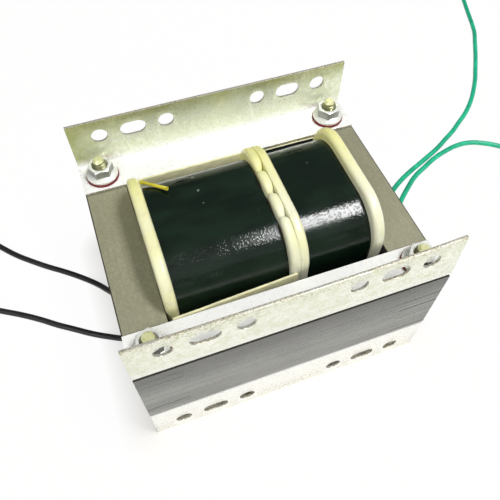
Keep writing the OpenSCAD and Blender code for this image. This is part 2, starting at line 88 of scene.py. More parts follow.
# Points of the leads' routes, from the winding's end to where the coil begins or the lead ends
LEAD_R = 0.00125
ROUTES = {
    "black_lead_1": [
        (-0.0346, 0.005, 0.013), (-0.04, 0.005, 0.013), (-0.046, 0.006, 0.0125), (-0.051, 0.009, 0.0105),
        (-0.055, 0.014, 0.007), (-0.0585, 0.02, 0.0035), (-0.063, 0.0265, 0.0016), (-0.069, 0.0325, LEAD_R),
        (-0.0755, 0.038, LEAD_R), (-0.082, 0.043, LEAD_R), (-0.0885, 0.0485, LEAD_R),
        (-0.0945, 0.054, LEAD_R), (-0.0995, 0.0595, LEAD_R), (-0.104, 0.065, LEAD_R),
        (-0.1085, 0.071, LEAD_R),
    ],
    "black_lead_2": [
        (-0.0346, -0.01, 0.013), (-0.04, -0.01, 0.013), (-0.046, -0.0095, 0.012),
        (-0.0515, -0.0075, 0.0085), (-0.057, -0.0045, 0.004), (-0.063, -0.0005, 0.0017),
        (-0.0695, 0.0035, LEAD_R), (-0.076, 0.008, LEAD_R), (-0.0825, 0.0125, LEAD_R),
        (-0.089, 0.0175, LEAD_R), (-0.0955, 0.022, LEAD_R), (-0.102, 0.026, LEAD_R), (-0.109, 0.03, LEAD_R),
        (-0.116, 0.0325, LEAD_R), (-0.123, 0.034, LEAD_R),
    ],
    "green_lead_1": [
        (0.0346, 0.005, 0.013), (0.04, 0.005, 0.013), (0.046, 0.0055, 0.0125), (0.052, 0.0075, 0.011),
        (0.058, 0.0105, 0.0085), (0.064, 0.014, 0.0055), (0.0705, 0.0185, 0.003), (0.077, 0.0235, 0.0016),
        (0.084, 0.0285, LEAD_R), (0.0915, 0.0335, LEAD_R), (0.099, 0.0375, LEAD_R), (0.107, 0.041, LEAD_R),
        (0.115, 0.0445, LEAD_R), (0.1225, 0.048, LEAD_R), (0.1295, 0.052, LEAD_R), (0.1365, 0.056, LEAD_R),
        (0.143, 0.0605, LEAD_R), (0.1495, 0.065, LEAD_R), (0.1555, 0.07, LEAD_R), (0.1615, 0.076, LEAD_R),
        (0.167, 0.0825, LEAD_R), (0.172, 0.089, LEAD_R), (0.177, 0.0965, LEAD_R), (0.182, 0.104, LEAD_R),
        (0.187, 0.112, LEAD_R), (0.1915, 0.1195, LEAD_R), (0.196, 0.127, LEAD_R), (0.1995, 0.135, LEAD_R),
        (0.2025, 0.143, LEAD_R), (0.2055, 0.151, LEAD_R), (0.208, 0.1575, LEAD_R), (0.2105, 0.164, LEAD_R),
    ],
    "green_lead_2": [
        (0.0346, -0.01, 0.013), (0.04, -0.01, 0.013), (0.046, -0.0095, 0.012), (0.052, -0.0075, 0.0095),
        (0.058, -0.004, 0.0065), (0.0645, 0.0005, 0.0038), (0.0715, 0.007, 0.002), (0.0785, 0.0145, 0.0014),
        (0.086, 0.022, LEAD_R), (0.0935, 0.0285, LEAD_R), (0.1015, 0.0345, LEAD_R),
        (0.1095, 0.0385, LEAD_R), (0.117, 0.042, LEAD_R), (0.125, 0.0445, LEAD_R), (0.133, 0.046, LEAD_R),
        (0.1405, 0.0455, LEAD_R), (0.1475, 0.0425, LEAD_R), (0.154, 0.038, LEAD_R), (0.16, 0.0325, LEAD_R),
        (0.1655, 0.027, LEAD_R),
    ],
}
# Put-away coils: the lead, its coil's node, the radius over the outermost turn and the tie's compass angle
COILS = {
    "black_lead_1": ("black_coil_1", 0.0166, 200),
    "black_lead_2": ("black_coil_2", 0.0166, 200),
    "green_lead_2": ("green_coil_2", 0.015, 260),
}


# Sizes, colours and stage


def length_of(name, description, default):
    """Length on a piece, given in millimetres."""
    return FloatProperty(
        name=name, description=description, default=default * MM, unit="LENGTH", precision=5)


def place_of(name, description, default):
    """Place in the frame."""
    return FloatVectorProperty(
        name=name, description=description, default=default, subtype="TRANSLATION", unit="LENGTH",
        precision=5)


def colour_of(name, description, default):
    """Colour of a finish, as linear light."""
    return FloatVectorProperty(
        name=name, description=description, default=default, subtype="COLOR", size=3, min=0, max=1)


class TransformerSizes(bpy.types.PropertyGroup):
    """Sizes of the pieces that the frame's boxes don't give."""

    sheet_t: length_of("Core sheet", "Thickness of one core sheet", 0.5)
    sheets_per_packet: IntProperty(
        name="Sheets per packet", default=4,
        description="Sheets laid the same way before the stack turns round")
    sheet_slip: length_of("Sheet slip", "How far a core sheet may lie out of line", 0.07)
    yoke_w: length_of("Yoke", "Width of each yoke", 15)
    window_w: length_of("Window", "Width of each core window", 15)
    tongue_w: length_of("Tongue", "Width of the core's tongue", 30)
    bracket_t: length_of("Bracket sheet", "Thickness of the angle brackets", 1)
    bend_r: length_of("Bend", "Outside radius of the brackets' bend", 1.8)
    hole_d: length_of("Holes", "Diameter of the bracket holes", 6)
    slot_l: length_of("Slots", "Length of the bracket slots", 9.6)
    hole_margin: length_of("Hole margin", "From the bracket's end to its first hole", 11)
    hole_pitch: length_of("Hole pitch", "From hole to slot and from slot to hole", 12.5)
    hole_row_h: length_of("Hole row", "Height of the hole row above the core", 14)
    edge_break: length_of("Broken edge", "Width of the broken edges on metal", 0.14)
    bolt_d: length_of("Bolts", "Diameter of the clamp bolts", 5)
    thread_pitch: length_of("Thread", "Pitch of the bolts' thread", 0.8)
    hex_af: length_of("Hexagon", "Width across flats of heads and nuts", 8)
    washer_t: length_of("Washer", "Thickness of the fibre washers", 1)
    rim_t: length_of("Outer rim", "Thickness of the bobbin flanges at the yokes", 4.2)
    inner_rim_t: length_of("Inner rim", "Thickness of the bobbin flanges in the middle", 3.4)
    rim_r: length_of("Rim corner", "Corner radius of the bobbin flanges", 15)
    rim_edge_r: length_of("Rim edge", "Radius on the edges of the bobbin flanges", 1.6)
    seam_edge_r: length_of("Seam edge", "Radius on the edges where two flanges meet", 0.4)
    pad_pitch: length_of("Pad pitch", "From notch to notch in the notched rim", 10.6)
    pad_shift: length_of("Pad shift", "Middle notch from the top of the rim", -1.6)
    notch_depth: length_of("Notch", "Depth of the notches between the pads", 2.4)
    liner_t: length_of("Liners", "Thickness of the window liners", 0.8)
    wrap_t: length_of("Wrap", "Thickness of the wraps", 0.5)
    wrap_r: length_of("Wrap corner", "Corner radius of the wraps", 15.4)
    tape_step: length_of("Tape step", "Step where one turn of tape laps another", 0.05)
    start_sleeve_r: length_of("Start sleeve", "Radius of the winding's start sleeve", 0.7)
    lead_l: length_of("Lead", "Length of a lead's insulation", 250)
    tinned_d: length_of("Bare end", "Diameter of the tinned wire ends", 1.3)
    tinned_l: length_of("Bare length", "Length of the tinned wire ends", 6)
    tie_t: length_of("Tie", "Thickness of the coil ties", 0.4)
    tie_w: length_of("Tie width", "Width of the coil ties", 3)


class TransformerColours(bpy.types.PropertyGroup):
    """Colours of the finishes, and of the dirt and shade on them."""

    sheet_face: colour_of("Sheet faces", "Flat faces of the core sheets", (0.40, 0.385, 0.265))
    sheet_edge: colour_of("Sheet edges", "Cut edges of the core sheets", (0.33, 0.33, 0.315))
    # Dark colour for the sheets' burrs, and painted shade on the core's top under the brackets
    sheet_burr_and_shade: colour_of("Sheet gaps", "Burrs of the sheets, and under the brackets", (0.02, 0.02, 0.016))
    sheet_rust: colour_of("Rust", "Rusty places on the sheets' cut edges", (0.24, 0.19, 0.13))
    # Painted shade on the sheet edges inside the core's windows
    sheet_window_shade: colour_of("Inside the core", "Sheet edges in the windows", (0.03, 0.028, 0.024))
    zinc: colour_of("Galvanised sheet", "Angle brackets", (0.98, 0.98, 0.955))
    zinc_pale: colour_of("Pale zinc", "Upper flange of the rear bracket", (0.93, 0.97, 0.77))
    # Yellowed zinc, which also stands for painted shade at the upper flanges' free edges
    zinc_tint_and_shade: colour_of("Yellowed zinc", "Free edges of the upper flanges", (0.36, 0.40, 0.12))
    zinc_mottle: colour_of("Mottled zinc", "Patches on the upper flanges", (0.87, 0.89, 0.80))
    zinc_grain: colour_of("Grained zinc", "Fine grain of the upper flanges", (0.60, 0.56, 0.43))
    zinc_soil: colour_of("Soiled zinc", "Dirt along the upper flanges' free edges", (0.42, 0.35, 0.19))
    # Painted shade in the gap between the brackets' bend and the core
    zinc_bend_shade: colour_of("Shaded bend", "Gap between the brackets' bend and the core", (0.04, 0.036, 0.03))
    cut_steel: colour_of("Cut steel", "Cut edges of the brackets", (0.58, 0.54, 0.42))
    nut: colour_of("Nuts", "Bright zinc of the nuts", (0.95, 0.96, 0.90))
    bolt: colour_of("Bolts", "Yellow zinc of the bolts", (0.84, 0.84, 0.46))
    fibre: colour_of("Fibre", "Red fibre washers", (0.20, 0.015, 0.022))
    nylon: colour_of("Nylon", "Natural nylon of the bobbins", (0.88, 0.87, 0.69))
    nylon_aged: colour_of("Aged nylon", "Yellowed places on the bobbins", (0.85, 0.82, 0.32))
    nylon_dirt: colour_of("Dirty nylon", "Dirt on the bobbins", (0.42, 0.38, 0.2))
    wrap: colour_of("Wrap", "Black film round the windings", (0.003, 0.009, 0.005))
    wrap_dust: colour_of("Dust", "Dust on the black film", (0.26, 0.30, 0.27))
    board: colour_of("Liner board", "Cream window liners", (0.80, 0.77, 0.48))
    sleeve: colour_of("Start sleeve", "Yellow sleeve on the winding's start", (0.76, 0.66, 0.06))
    copper: colour_of("Copper", "Enamelled winding wire", (0.62, 0.25, 0.10))
    tube: colour_of("Insulating tube", "Sleeves round the bolts", (0.75, 0.72, 0.6))
    black_lead: colour_of("Black leads", "Insulation of the black leads", (0.012, 0.012, 0.013))
    green_lead: colour_of("Green leads", "Insulation of the green leads", (0.012, 0.47, 0.26))
    tinned: colour_of("Tinned wire", "Bare ends of the leads", (0.72, 0.72, 0.70))
    tie: colour_of("Ties", "Ties round the put-away coils", (0.78, 0.78, 0.76))
    floor_low: colour_of("Floor", "Darker patches of the floor", (0.92, 0.88, 0.79))
    floor_high: colour_of("Pale floor", "Paler patches of the floor", (0.94, 0.90, 0.82))
    room: colour_of("Room", "Light of the room", (0.97, 1, 0.98))


class TransformerStage(bpy.types.PropertyGroup):
    """Camera, lamps and floor."""

    eye: place_of("Camera", "Where the camera stands", (-0.04101, -0.10918, 0.21086))
    aim: FloatVectorProperty(
        name="Aim", description="Camera's turn about X, Y and Z", subtype="EULER",
        default=(math.radians(33.446), math.radians(-0.209), math.radians(-19.953)))
    lens: FloatProperty(name="Lens", description="Focal length in millimetres", default=39.095)
    sensor: FloatProperty(name="Sensor", description="Width of the sensor in millimetres", default=36)
    key_place: place_of("Key lamp's place", "Where the lamp at the right stands", (0.306, -0.17, 0.834))
    key_size: FloatVectorProperty(
        name="Key lamp's size", description="Sides of the lamp at the right", default=(0.16, 0.42),
        size=2, unit="LENGTH")
    key: FloatProperty(
        name="Key lamp", description="Power of the lamp at the right", default=5.4, subtype="POWER")
    fill_place: place_of("Fill lamp's place", "Where the lamp at the left front stands", (-0.60, -0.46, 0.74))
    fill_size: FloatVectorProperty(
        name="Fill lamp's size", description="Sides of the lamp at the left front", default=(0.5, 0.5),
        size=2, unit="LENGTH")
    fill: FloatProperty(
        name="Fill lamp", description="Power of the lamp at the left front", default=3.2, subtype="POWER")
    room_front: FloatProperty(
        name="Front light", description="Strength of the room's light from the front", default=0.5)
    room_rear: FloatProperty(
        name="Rear light", description="Strength of the room's light from the rear", default=0.08)
    floor_size: FloatProperty(name="Floor", description="Width of the floor", default=3, unit="LENGTH")


def sizes():
    """The scene's sizes."""
    return bpy.context.scene.transformer_sizes


def colours():
    """The scene's colours."""
    return bpy.context.scene.transformer_colours


# Modelling helpers


def alone(obj):
    """Make one object the only one selected, and the active one."""
    bpy.ops.object.select_all(action="DESELECT")
    obj.select_set(True)
    bpy.context.view_layer.objects.active = obj


def begin(add, name, scale=(1, 1, 1), **how):
    """Add a primitive at its size and place, by itself, with its place in its mesh."""
    bpy.ops.object.select_all(action="DESELECT")
    add(**how)
    obj = bpy.context.object
    obj.name = name
    obj.scale = scale
    bpy.ops.object.transform_apply(location=True, rotation=True, scale=True)
    return obj


def rod(name, sides, radius, depth, place, turn=(0, 0, 0)):
    """Start from a cylinder, upright unless it is turned."""
    return begin(bpy.ops.mesh.primitive_cylinder_add, name, vertices=sides, radius=radius, depth=depth,
                 location=place, rotation=turn)


def block(name, size, place):
    """Start from a box."""
    return begin(bpy.ops.mesh.primitive_cube_add, name, size=1, scale=size, location=place)


def flat(name, width, height, place, turn=(0, 0, 0)):
    """Start from a rectangle, lying unless it is turned."""
    return begin(bpy.ops.mesh.primitive_plane_add, name, size=1, scale=(width, height, 1), location=place,
                 rotation=turn)


@contextmanager
def editing(obj):
    """Edit mode on one mesh."""
    alone(obj)
    bpy.ops.object.mode_set(mode="EDIT")
    yield
    bpy.ops.object.mode_set(mode="OBJECT")


def pick(obj, kind, test=lambda part: True):
    """In edit mode, select the corners, edges or faces that pass a test."""
    bpy.context.tool_settings.mesh_select_mode = [kind == k for k in ("VERT", "EDGE", "FACE")]
    bpy.ops.mesh.select_all(action="DESELECT")
    shape = bmesh.from_edit_mesh(obj.data)
    for part in {"VERT": shape.verts, "EDGE": shape.edges, "FACE": shape.faces}[kind]:
        if test(part):
            part.select_set(True)
    shape.select_flush_mode()
    bmesh.update_edit_mesh(obj.data)


def facing(axis):
    """Test for faces that look along an axis, either way."""
    return lambda face: abs(face.normal[axis]) > SQUARE_ON


def is_top(face):
    """Whether a face looks up."""
    return face.normal.z > SQUARE_ON


def middle(edge):
    """Place halfway along an edge."""
    return (edge.verts[0].co + edge.verts[1].co) / 2


def near(a, b, within=SAME_PLACE):
    """Whether two coordinates are the same place."""
    return abs(a - b) < within


def level(edge, axis, place, within=SAME_PLACE):
    """Whether both ends of an edge are at a place along an axis."""
    return all(near(v.co[axis], place, within) for v in edge.verts)


def span(edge, axis):
    """How far an edge runs along an axis."""
    return abs(edge.verts[0].co[axis] - edge.verts[1].co[axis])


def push(move):
    """Extrude what is selected by a move."""
    bpy.ops.mesh.extrude_region_move(TRANSFORM_OT_translate={"value": move})


def round_off(what, offset, segments):
    """Bevel the selected corners or edges to a radius."""
    bpy.ops.mesh.bevel(offset=offset, segments=segments, affect=what, profile=0.5)


def tidy_mesh(obj):
    """Merge doubled corners and turn every face outwards."""
    with editing(obj):
        pick(obj, "VERT")
        bpy.ops.mesh.remove_doubles(threshold=SAME_PLACE)
        bpy.ops.mesh.normals_make_consistent(inside=False)


def modify(obj, kind, **settings):
    """Add a modifier and apply it at once."""
    alone(obj)
    step = obj.modifiers.new(kind.title(), kind)
    for name, value in settings.items():
        setattr(step, name, value)
    bpy.ops.object.modifier_apply(modifier=step.name)


def repeat(obj, count, rise):
    """Copies of a mesh one above the other."""
    modify(obj, "ARRAY", count=count, use_relative_offset=False, use_constant_offset=True,
           constant_offset_displace=(0, 0, rise))


def cut(obj, cutter, how="DIFFERENCE"):
    """Cut one mesh by another, which is used up."""
    modify(obj, "BOOLEAN", object=cutter, operation=how, solver="EXACT")
    bpy.data.objects.remove(cutter)


def twin(obj, name, matrix):
    """Copy of a piece with its own mesh, moved by a matrix."""
    alone(obj)
    bpy.ops.object.duplicate()
    copy = bpy.context.object
    copy.name = name
    copy.data.transform(matrix)
    return copy


def join(objs, name):
    """Join several meshes into one piece."""
    alone(objs[0])
    for obj in objs:
        obj.select_set(True)
    bpy.ops.object.join()
    objs[0].name = name
    return objs[0]


def break_edges(obj, width, angle=40, steps=2):
    """Take the sharpness off a mesh's edges."""
    modify(obj, "BEVEL", width=width, segments=steps, limit_method="ANGLE",
           angle_limit=math.radians(angle), use_clamp_overlap=True)
    with editing(obj):
        pick(obj, "VERT")
        bpy.ops.mesh.dissolve_degenerate(threshold=2 * SAME_PLACE)


def paint(obj, first, second, test=lambda face: False):
    """Give a mesh two finishes, the second one on the faces that pass a test."""
    obj.data.materials.append(first)
    obj.data.materials.append(second)
    for face in obj.data.polygons:
        face.material_index = 1 if test(face) else 0


def dress(piece, nodes, material=None):
    """Give a finished piece its shading, body and CAD nodes, and its finish unless it has one."""
    if material:
        piece.data.materials.append(material)
    if piece.type == "MESH":
        alone(piece)
        bpy.ops.object.shade_smooth_by_angle(angle=SMOOTH_BELOW)
    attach(piece, "root")
    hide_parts(*nodes)
    return piece


def repaint(node, material):
    """Give a carried-over CAD node its finish."""
    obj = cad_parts[node]
    obj.data.materials.clear()
    obj.data.materials.append(material)


def turned(angle, axis):
    """Turn about an axis through the middle of the stack."""
    centre = Vector((0, 0, MID_Z))
    turn = Matrix.Rotation(math.radians(angle), 4, axis)
    return Matrix.Translation(centre) @ turn @ Matrix.Translation(-centre)


def moved(x, y, z):
    """Move without a turn."""
    return Matrix.Translation((x, y, z))


# Shader helpers


def is_socket(value):
    """Whether a value comes from another node."""
    return isinstance(value, bpy.types.NodeSocket)


def put(tree, kind, inputs=None, **settings):
    """Add a shader node. An input given as a socket is linked, any other value is set."""
    made = tree.nodes.new(kind)
    for name, value in settings.items():
        setattr(made, name, value)
    for key, value in (inputs or {}).items():
        if is_socket(value):
            tree.links.new(value, made.inputs[key])
        else:
            made.inputs[key].default_value = value
    return made


def maths(tree, how, *values):
    """One step of arithmetic."""
    return put(tree, "ShaderNodeMath", dict(enumerate(values)), operation=how).outputs[0]


def effect(name, **defaults):
    """Start a node group that turns a place into a mask: its tree, its inputs and its Mask output."""
    tree = bpy.data.node_groups.new(name, "ShaderNodeTree")
    tree.interface.new_socket("Vector", in_out="INPUT", socket_type="NodeSocketVector")
    for label, default in defaults.items():
        kind = "NodeSocketVector" if isinstance(default, tuple) else "NodeSocketFloat"
        tree.interface.new_socket(label, in_out="INPUT", socket_type=kind).default_value = default
    tree.interface.new_socket("Mask", in_out="OUTPUT", socket_type="NodeSocketFloat")
    return tree, tree.nodes.new("NodeGroupInput").outputs, tree.nodes.new("NodeGroupOutput").inputs["Mask"]


def cloud_effect():
    """Soft patches, stretched if wanted: noise cut between two levels."""
    tree, given, mask = effect("Cloud", Stretch=(1, 1, 1), Detail=4, Low=0.35, High=0.65)
    place = put(tree, "ShaderNodeVectorMath", {0: given["Vector"], 1: given["Stretch"]}, operation="MULTIPLY")
    grain = put(tree, "ShaderNodeTexNoise", {
        "Vector": place.outputs[0], "Scale": 1, "Detail": given["Detail"]})
    cut_off = put(tree, "ShaderNodeMapRange", {
        "Value": grain.outputs[0], "From Min": given["Low"], "From Max": given["High"],
    }, interpolation_type="SMOOTHSTEP")
    tree.links.new(cut_off.outputs[0], mask)


def specks_effect():
    """Scattered dots of different sizes, such as dust."""
    tree, given, mask = effect("Specks", Scale=500, Size=0.2, Share=0.2)
    cells = put(tree, "ShaderNodeTexVoronoi", {"Vector": given["Vector"], "Scale": given["Scale"]}).outputs
    chance = put(tree, "ShaderNodeSeparateColor", {0: cells["Color"]}).outputs
    chosen = maths(tree, "LESS_THAN", chance[0], given["Share"])
    dot_r = maths(tree, "MULTIPLY", chance[1], given["Size"])
    inside = maths(tree, "LESS_THAN", cells["Distance"], dot_r)
    tree.links.new(maths(tree, "MULTIPLY", chosen, inside), mask)


class Finish:
    """A material in the making: its node tree, its shader and the place on the surface."""

    def __init__(self, name, **even):
        """Start a material with the shader values that are even all over."""
        self.material = bpy.data.materials.new(name)
        self.material.use_nodes = True
        self.tree = self.material.node_tree
        self.shader = self.tree.nodes["Principled BSDF"]
        for key, value in even.items():
            self.shader.inputs[key.replace("_", " ")].default_value = value
        self.place = self.put("ShaderNodeTexCoord").outputs["Object"]

    def put(self, kind, inputs=None, **settings):
        """Add a node to the material."""
        return put(self.tree, kind, inputs, **settings)

    def link(self, value, name):
        """Let one of the shader's inputs follow a value."""
        self.tree.links.new(value, self.shader.inputs[name])

    def axes(self):
        """X, Y and Z of the place on the surface."""
        return self.put("ShaderNodeSeparateXYZ", {0: self.place}).outputs

    def mask(self, name, **values):
        """Place an effect in the material and give its mask."""
        return self.put("ShaderNodeGroup", {"Vector": self.place, **values},
                        node_tree=bpy.data.node_groups[name]).outputs["Mask"]

    def cloud(self, stretch, detail, low, high):
        """Soft patches, with one stretch for all three axes or one for each."""
        stretch = stretch if isinstance(stretch, tuple) else (stretch,) * 3
        return self.mask("Cloud", Stretch=stretch, Detail=detail, Low=low, High=high)

    def maths(self, how, *values):
        """One step of arithmetic in the material."""
        return maths(self.tree, how, *values)

    def times(self, a, b):
        """One value times another."""
        return self.maths("MULTIPLY", a, b)

    def most(self, a, b):
        """The greater of two values."""
        return self.maths("MAXIMUM", a, b)

    def off(self, value):
        """How far a value is from zero."""
        return self.maths("ABSOLUTE", value)

    def reach(self, value, start, end, low=0, high=1):
        """How far a coordinate has come from one place to another, as a share or between two values."""
        return self.put("ShaderNodeMapRange", {
            "Value": value, "From Min": start, "From Max": end, "To Min": low, "To Max": high}).outputs[0]

    def ranged(self, mask, low, high):
        """Stretch a 0 to 1 value to another range."""
        return self.reach(mask, 0, 1, low, high)

    def blend(self, factor, a, b, how="MIX"):
        """Mix two colours."""
        a, b = (c if is_socket(c) else (*c, 1) for c in (a, b))
        return self.put("ShaderNodeMix", {0: factor, 6: a, 7: b}, data_type="RGBA", blend_type=how).outputs[2]

    def lay(self, colour, mask, strength, other):
        """Lay another colour over a colour, by a mask at a strength."""
        return self.blend(self.ranged(mask, 0, strength), colour, other)

    def done(self, colour, rough, relief):
        """Link the colour, roughness as (mask, low, high) and relief as (height, strength, depth)."""
        height, strength, depth = relief
        bump = self.put("ShaderNodeBump", {"Height": height, "Strength": strength, "Distance": depth})
        self.link(colour, "Base Color")
        self.link(self.ranged(*rough), "Roughness")
        self.link(bump.outputs[0], "Normal")
        return self.material


def scaled(colour, by):
    """Darker or lighter tone of a colour."""
    return tuple(c * by for c in colour)


# Finishes


def sheet_faces():
    """Flat faces of core sheets: grey-brown, grained and stained, dark burrs at edges and painted shade under
    the brackets.
    """
    f = Finish("sheet_faces", Metallic=0.3)
    rolled = f.cloud((1400, 60, 60), detail=3, low=0.2, high=0.8)
    stain = f.cloud(70, detail=6, low=0.4, high=0.7)
    grain = f.cloud(1500, detail=3, low=0.3, high=0.7)
    x, y, _ = f.axes()
    burr = f.reach(f.off(x), CORE_HIGH.x - 0.5 * MM, CORE_HIGH.x - 0.25 * MM)
    # Painted shade: the top faces under each bracket, from its bend outwards, are darkened
    seat = f.reach(f.off(y), -SEAT_HIGH.y - 1 * MM, -SEAT_HIGH.y + 1 * MM)
    base = colours().sheet_face
    colour = f.blend(rolled, scaled(base, 0.94), scaled(base, 1.06))
    colour = f.lay(colour, stain, 0.4, scaled(base, 0.74))
    colour = f.lay(colour, grain, 0.45, scaled(base, 0.6))
    # Dark burrs at the ends, and painted shade under the brackets
    colour = f.lay(colour, f.most(burr, seat), 0.92, colours().sheet_burr_and_shade)
    return f.done(colour, rough=(stain, 0.36, 0.5), relief=(grain, 0.14, 0.05 * MM))


def sheet_edges():
    """Cut edges of core sheets: grey, each sheet in its own tone; darker at the top (stain and painted shade
    below the brackets) and in the windows (painted shade).
    """
    f = Finish("sheet_edges", Metallic=0.4)
    streak = f.cloud((3, 3, 1900), detail=2, low=0.25, high=0.75)
    smear = f.cloud((40, 40, 120), detail=5, low=0.35, high=0.7)
    rust = f.cloud((200, 200, 800), detail=5, low=0.66, high=0.82)
    x, y, z = f.axes()
    # Painted shade on the window walls inside the core's outline
    inside = f.times(f.maths("LESS_THAN", f.off(x), CORE_HIGH.x - 1 * MM),
                     f.maths("LESS_THAN", f.off(y), CORE_HIGH.y - 1 * MM))
    # Stain and painted shade below the brackets: darker towards the top of the core's sides
    top = f.reach(z, CORE_HIGH.z - 16 * MM, CORE_HIGH.z)
    base = colours().sheet_edge
    colour = f.blend(streak, scaled(base, 0.86), scaled(base, 1.1))
    colour = f.lay(colour, smear, 0.5, scaled(base, 0.66))
    colour = f.lay(colour, rust, 0.35, colours().sheet_rust)
    colour = f.lay(colour, top, 0.7, scaled(base, 0.36))
    colour = f.lay(colour, inside, 0.85, colours().sheet_window_shade)
    return f.done(colour, rough=(streak, 0.5, 0.36), relief=(streak, 0.1, 0.04 * MM))


def galvanised_sheet():
    """Zinc-coated sheet: pale and mottled; yellowed with painted shade on the upper flanges, most at the rear
    one's edges; painted shade at the bend.
    """
    f = Finish("galvanised_sheet")
    patch = f.cloud((55, 55, 80), detail=6, low=0.35, high=0.7)
    mottle = f.cloud(520, detail=5, low=0.4, high=0.64)
    grain = f.cloud(1300, detail=3, low=0.34, high=0.7)
    soil = f.cloud(1500, detail=3, low=0.5, high=0.62)
    x, y, z = f.axes()
    rear = f.reach(y, CORE_LOW.y, CORE_HIGH.y)
    flange = f.reach(z, SEAT_LOW.z + 1 * MM, SEAT_LOW.z + 5 * MM)
    top = f.reach(z, SEAT_HIGH.z - 8.5 * MM, SEAT_HIGH.z)
    end = f.times(flange, f.reach(x, SEAT_LOW.x + 15 * MM, SEAT_LOW.x + 2 * MM))
    # Yellowing together with painted shade: darker olive towards the upper flanges' free edges and left ends,
    # most on the rear one
    tint_and_shade = f.times(f.most(top, end), f.ranged(patch, 0.65, 1.1))
    tint_and_shade = f.times(tint_and_shade, f.ranged(rear, 0.1, 1))
    brim = f.reach(z, SEAT_HIGH.z - 6 * MM, SEAT_HIGH.z, 0, 0.7)
    # Painted shade along the outside of the bend, where it meets the core
    seat_h = SEAT_LOW.z - MID_Z
    bend = f.reach(f.off(f.maths("SUBTRACT", z, MID_Z)), seat_h + 1.6 * MM, seat_h)
    side = f.reach(f.off(y), CORE_HIGH.y - 1.6 * MM, CORE_HIGH.y - 0.6 * MM)
    c = colours()
    colour = f.blend(f.times(flange, f.ranged(rear, 0.4, 1)), c.zinc, c.zinc_pale)
    colour = f.blend(tint_and_shade, colour, c.zinc_tint_and_shade)
    colour = f.blend(f.times(mottle, flange), colour, c.zinc_mottle, "MULTIPLY")
    colour = f.blend(f.times(grain, f.ranged(flange, 0, 0.26)), colour, c.zinc_grain)
    colour = f.blend(f.times(soil, brim), colour, c.zinc_soil)
    colour = f.blend(f.times(bend, side), colour, c.zinc_bend_shade)
    shiny = f.most(f.most(rear, flange), f.maths("LESS_THAN", z, MID_Z))
    f.link(f.ranged(shiny, 0.02, 0.25), "Metallic")
    return f.done(colour, rough=(mottle, 0.27, 0.4), relief=(grain, 0.07, 0.05 * MM))


def cut_steel():
    """Sheared and punched edges of zinc-coated sheet: bare steel with zinc smeared over part of it."""
    f = Finish("cut_steel", Metallic=0.5)
    smear = f.cloud(120, detail=4, low=0.4, high=0.66)
    shear = f.cloud((1600, 1600, 500), detail=3, low=0.3, high=0.7)
    base = colours().cut_steel
    colour = f.blend(shear, scaled(base, 0.45), scaled(base, 1.3))
    colour = f.lay(colour, smear, 0.5, scaled(colours().zinc, 0.7))
    return f.done(colour, rough=(smear, 0.5, 0.35), relief=(shear, 0.2, 0.05 * MM))


def natural_nylon():
    """Cream moulded nylon that lets light in, yellowed in places and most of all at the upper rear."""
    f = Finish("natural_nylon", Subsurface_Weight=0.25, Subsurface_Radius=(0.004, 0.0032, 0.0014),
               Subsurface_Scale=0.5)
    aged = f.cloud(45, detail=3, low=0.35, high=0.68)
    dirt = f.cloud(320, detail=5, low=0.56, high=0.8)
    ripple = f.cloud(260, detail=2, low=0.2, high=0.8)
    _, y, z = f.axes()
    upper_rear = f.times(f.reach(y, -16 * MM, 20 * MM),
                         f.reach(z, CORE_HIGH.z - 5 * MM, CORE_HIGH.z + 6 * MM))
    yellowed = f.most(f.ranged(aged, 0, 0.5), upper_rear)
    colour = f.blend(yellowed, colours().nylon, colours().nylon_aged)
    colour = f.lay(colour, dirt, 0.25, colours().nylon_dirt)
    return f.done(colour, rough=(aged, 0.13, 0.22), relief=(ripple, 0.15, 0.2 * MM))


def black_wrap():
    """Glossy black film with fine raised points that break highlights up into sparks, and a little dust."""
    f = Finish("black_wrap", Specular_IOR_Level=0.5)
    cells = f.put("ShaderNodeTexVoronoi", {"Vector": f.place, "Scale": 1400})
    points = f.reach(cells.outputs["Distance"], 0.5, 0.1)
    smear = f.cloud((60, 140, 140), detail=5, low=0.35, high=0.7)
    dust = f.mask("Specks", Scale=300, Size=0.22, Share=0.1)
    colour = f.blend(smear, colours().wrap, scaled(colours().wrap, 2))
    colour = f.lay(colour, dust, 0.6, colours().wrap_dust)
    return f.done(colour, rough=(smear, 0.13, 0.2), relief=(points, 1, 0.024 * MM))


def two_toned(name, colour, tones, patches, rough, relief, grain=None, **even):
    """Finish in two tones of a colour that follow its patches, with relief by a grain or by the patches."""
    f = Finish(name, **even)
    patches = f.cloud(**patches)
    grain = f.cloud(**grain) if grain else patches
    dark, light = (scaled(colour, tone) for tone in tones)
    return f.done(f.blend(patches, dark, light), rough=(patches, *rough), relief=(grain, *relief))


def plated(name, colour, roughness, metal):
    """Plated steel of the fasteners, dulled in patches."""
    return two_toned(
        name, colour, tones=(1, 0.83), patches=dict(stretch=420, detail=4, low=0.4, high=0.75),
        grain=dict(stretch=2600, detail=3, low=0.3, high=0.7), rough=(roughness, roughness + 0.16),
        relief=(0.05, 0.03 * MM), Metallic=metal)


def soft_plastic(name, colour, smooth, dull):
    """Flexible insulation: nearly even, with a handled, slightly uneven gloss."""
    return two_toned(
        name, colour, tones=(0.85, 1.15), patches=dict(stretch=180, detail=4, low=0.3, high=0.72),
        grain=dict(stretch=2200, detail=2, low=0.3, high=0.7), rough=(smooth, dull), relief=(0.06, 0.04 * MM))


def red_fibre():
    """Pressed red fibre with short flecks."""
    return two_toned(
        "red_fibre", colours().fibre, tones=(0.6, 1.25), rough=(0.55, 0.75), relief=(0.3, 0.08 * MM),
        patches=dict(stretch=(1500, 1500, 3000), detail=4, low=0.35, high=0.7))


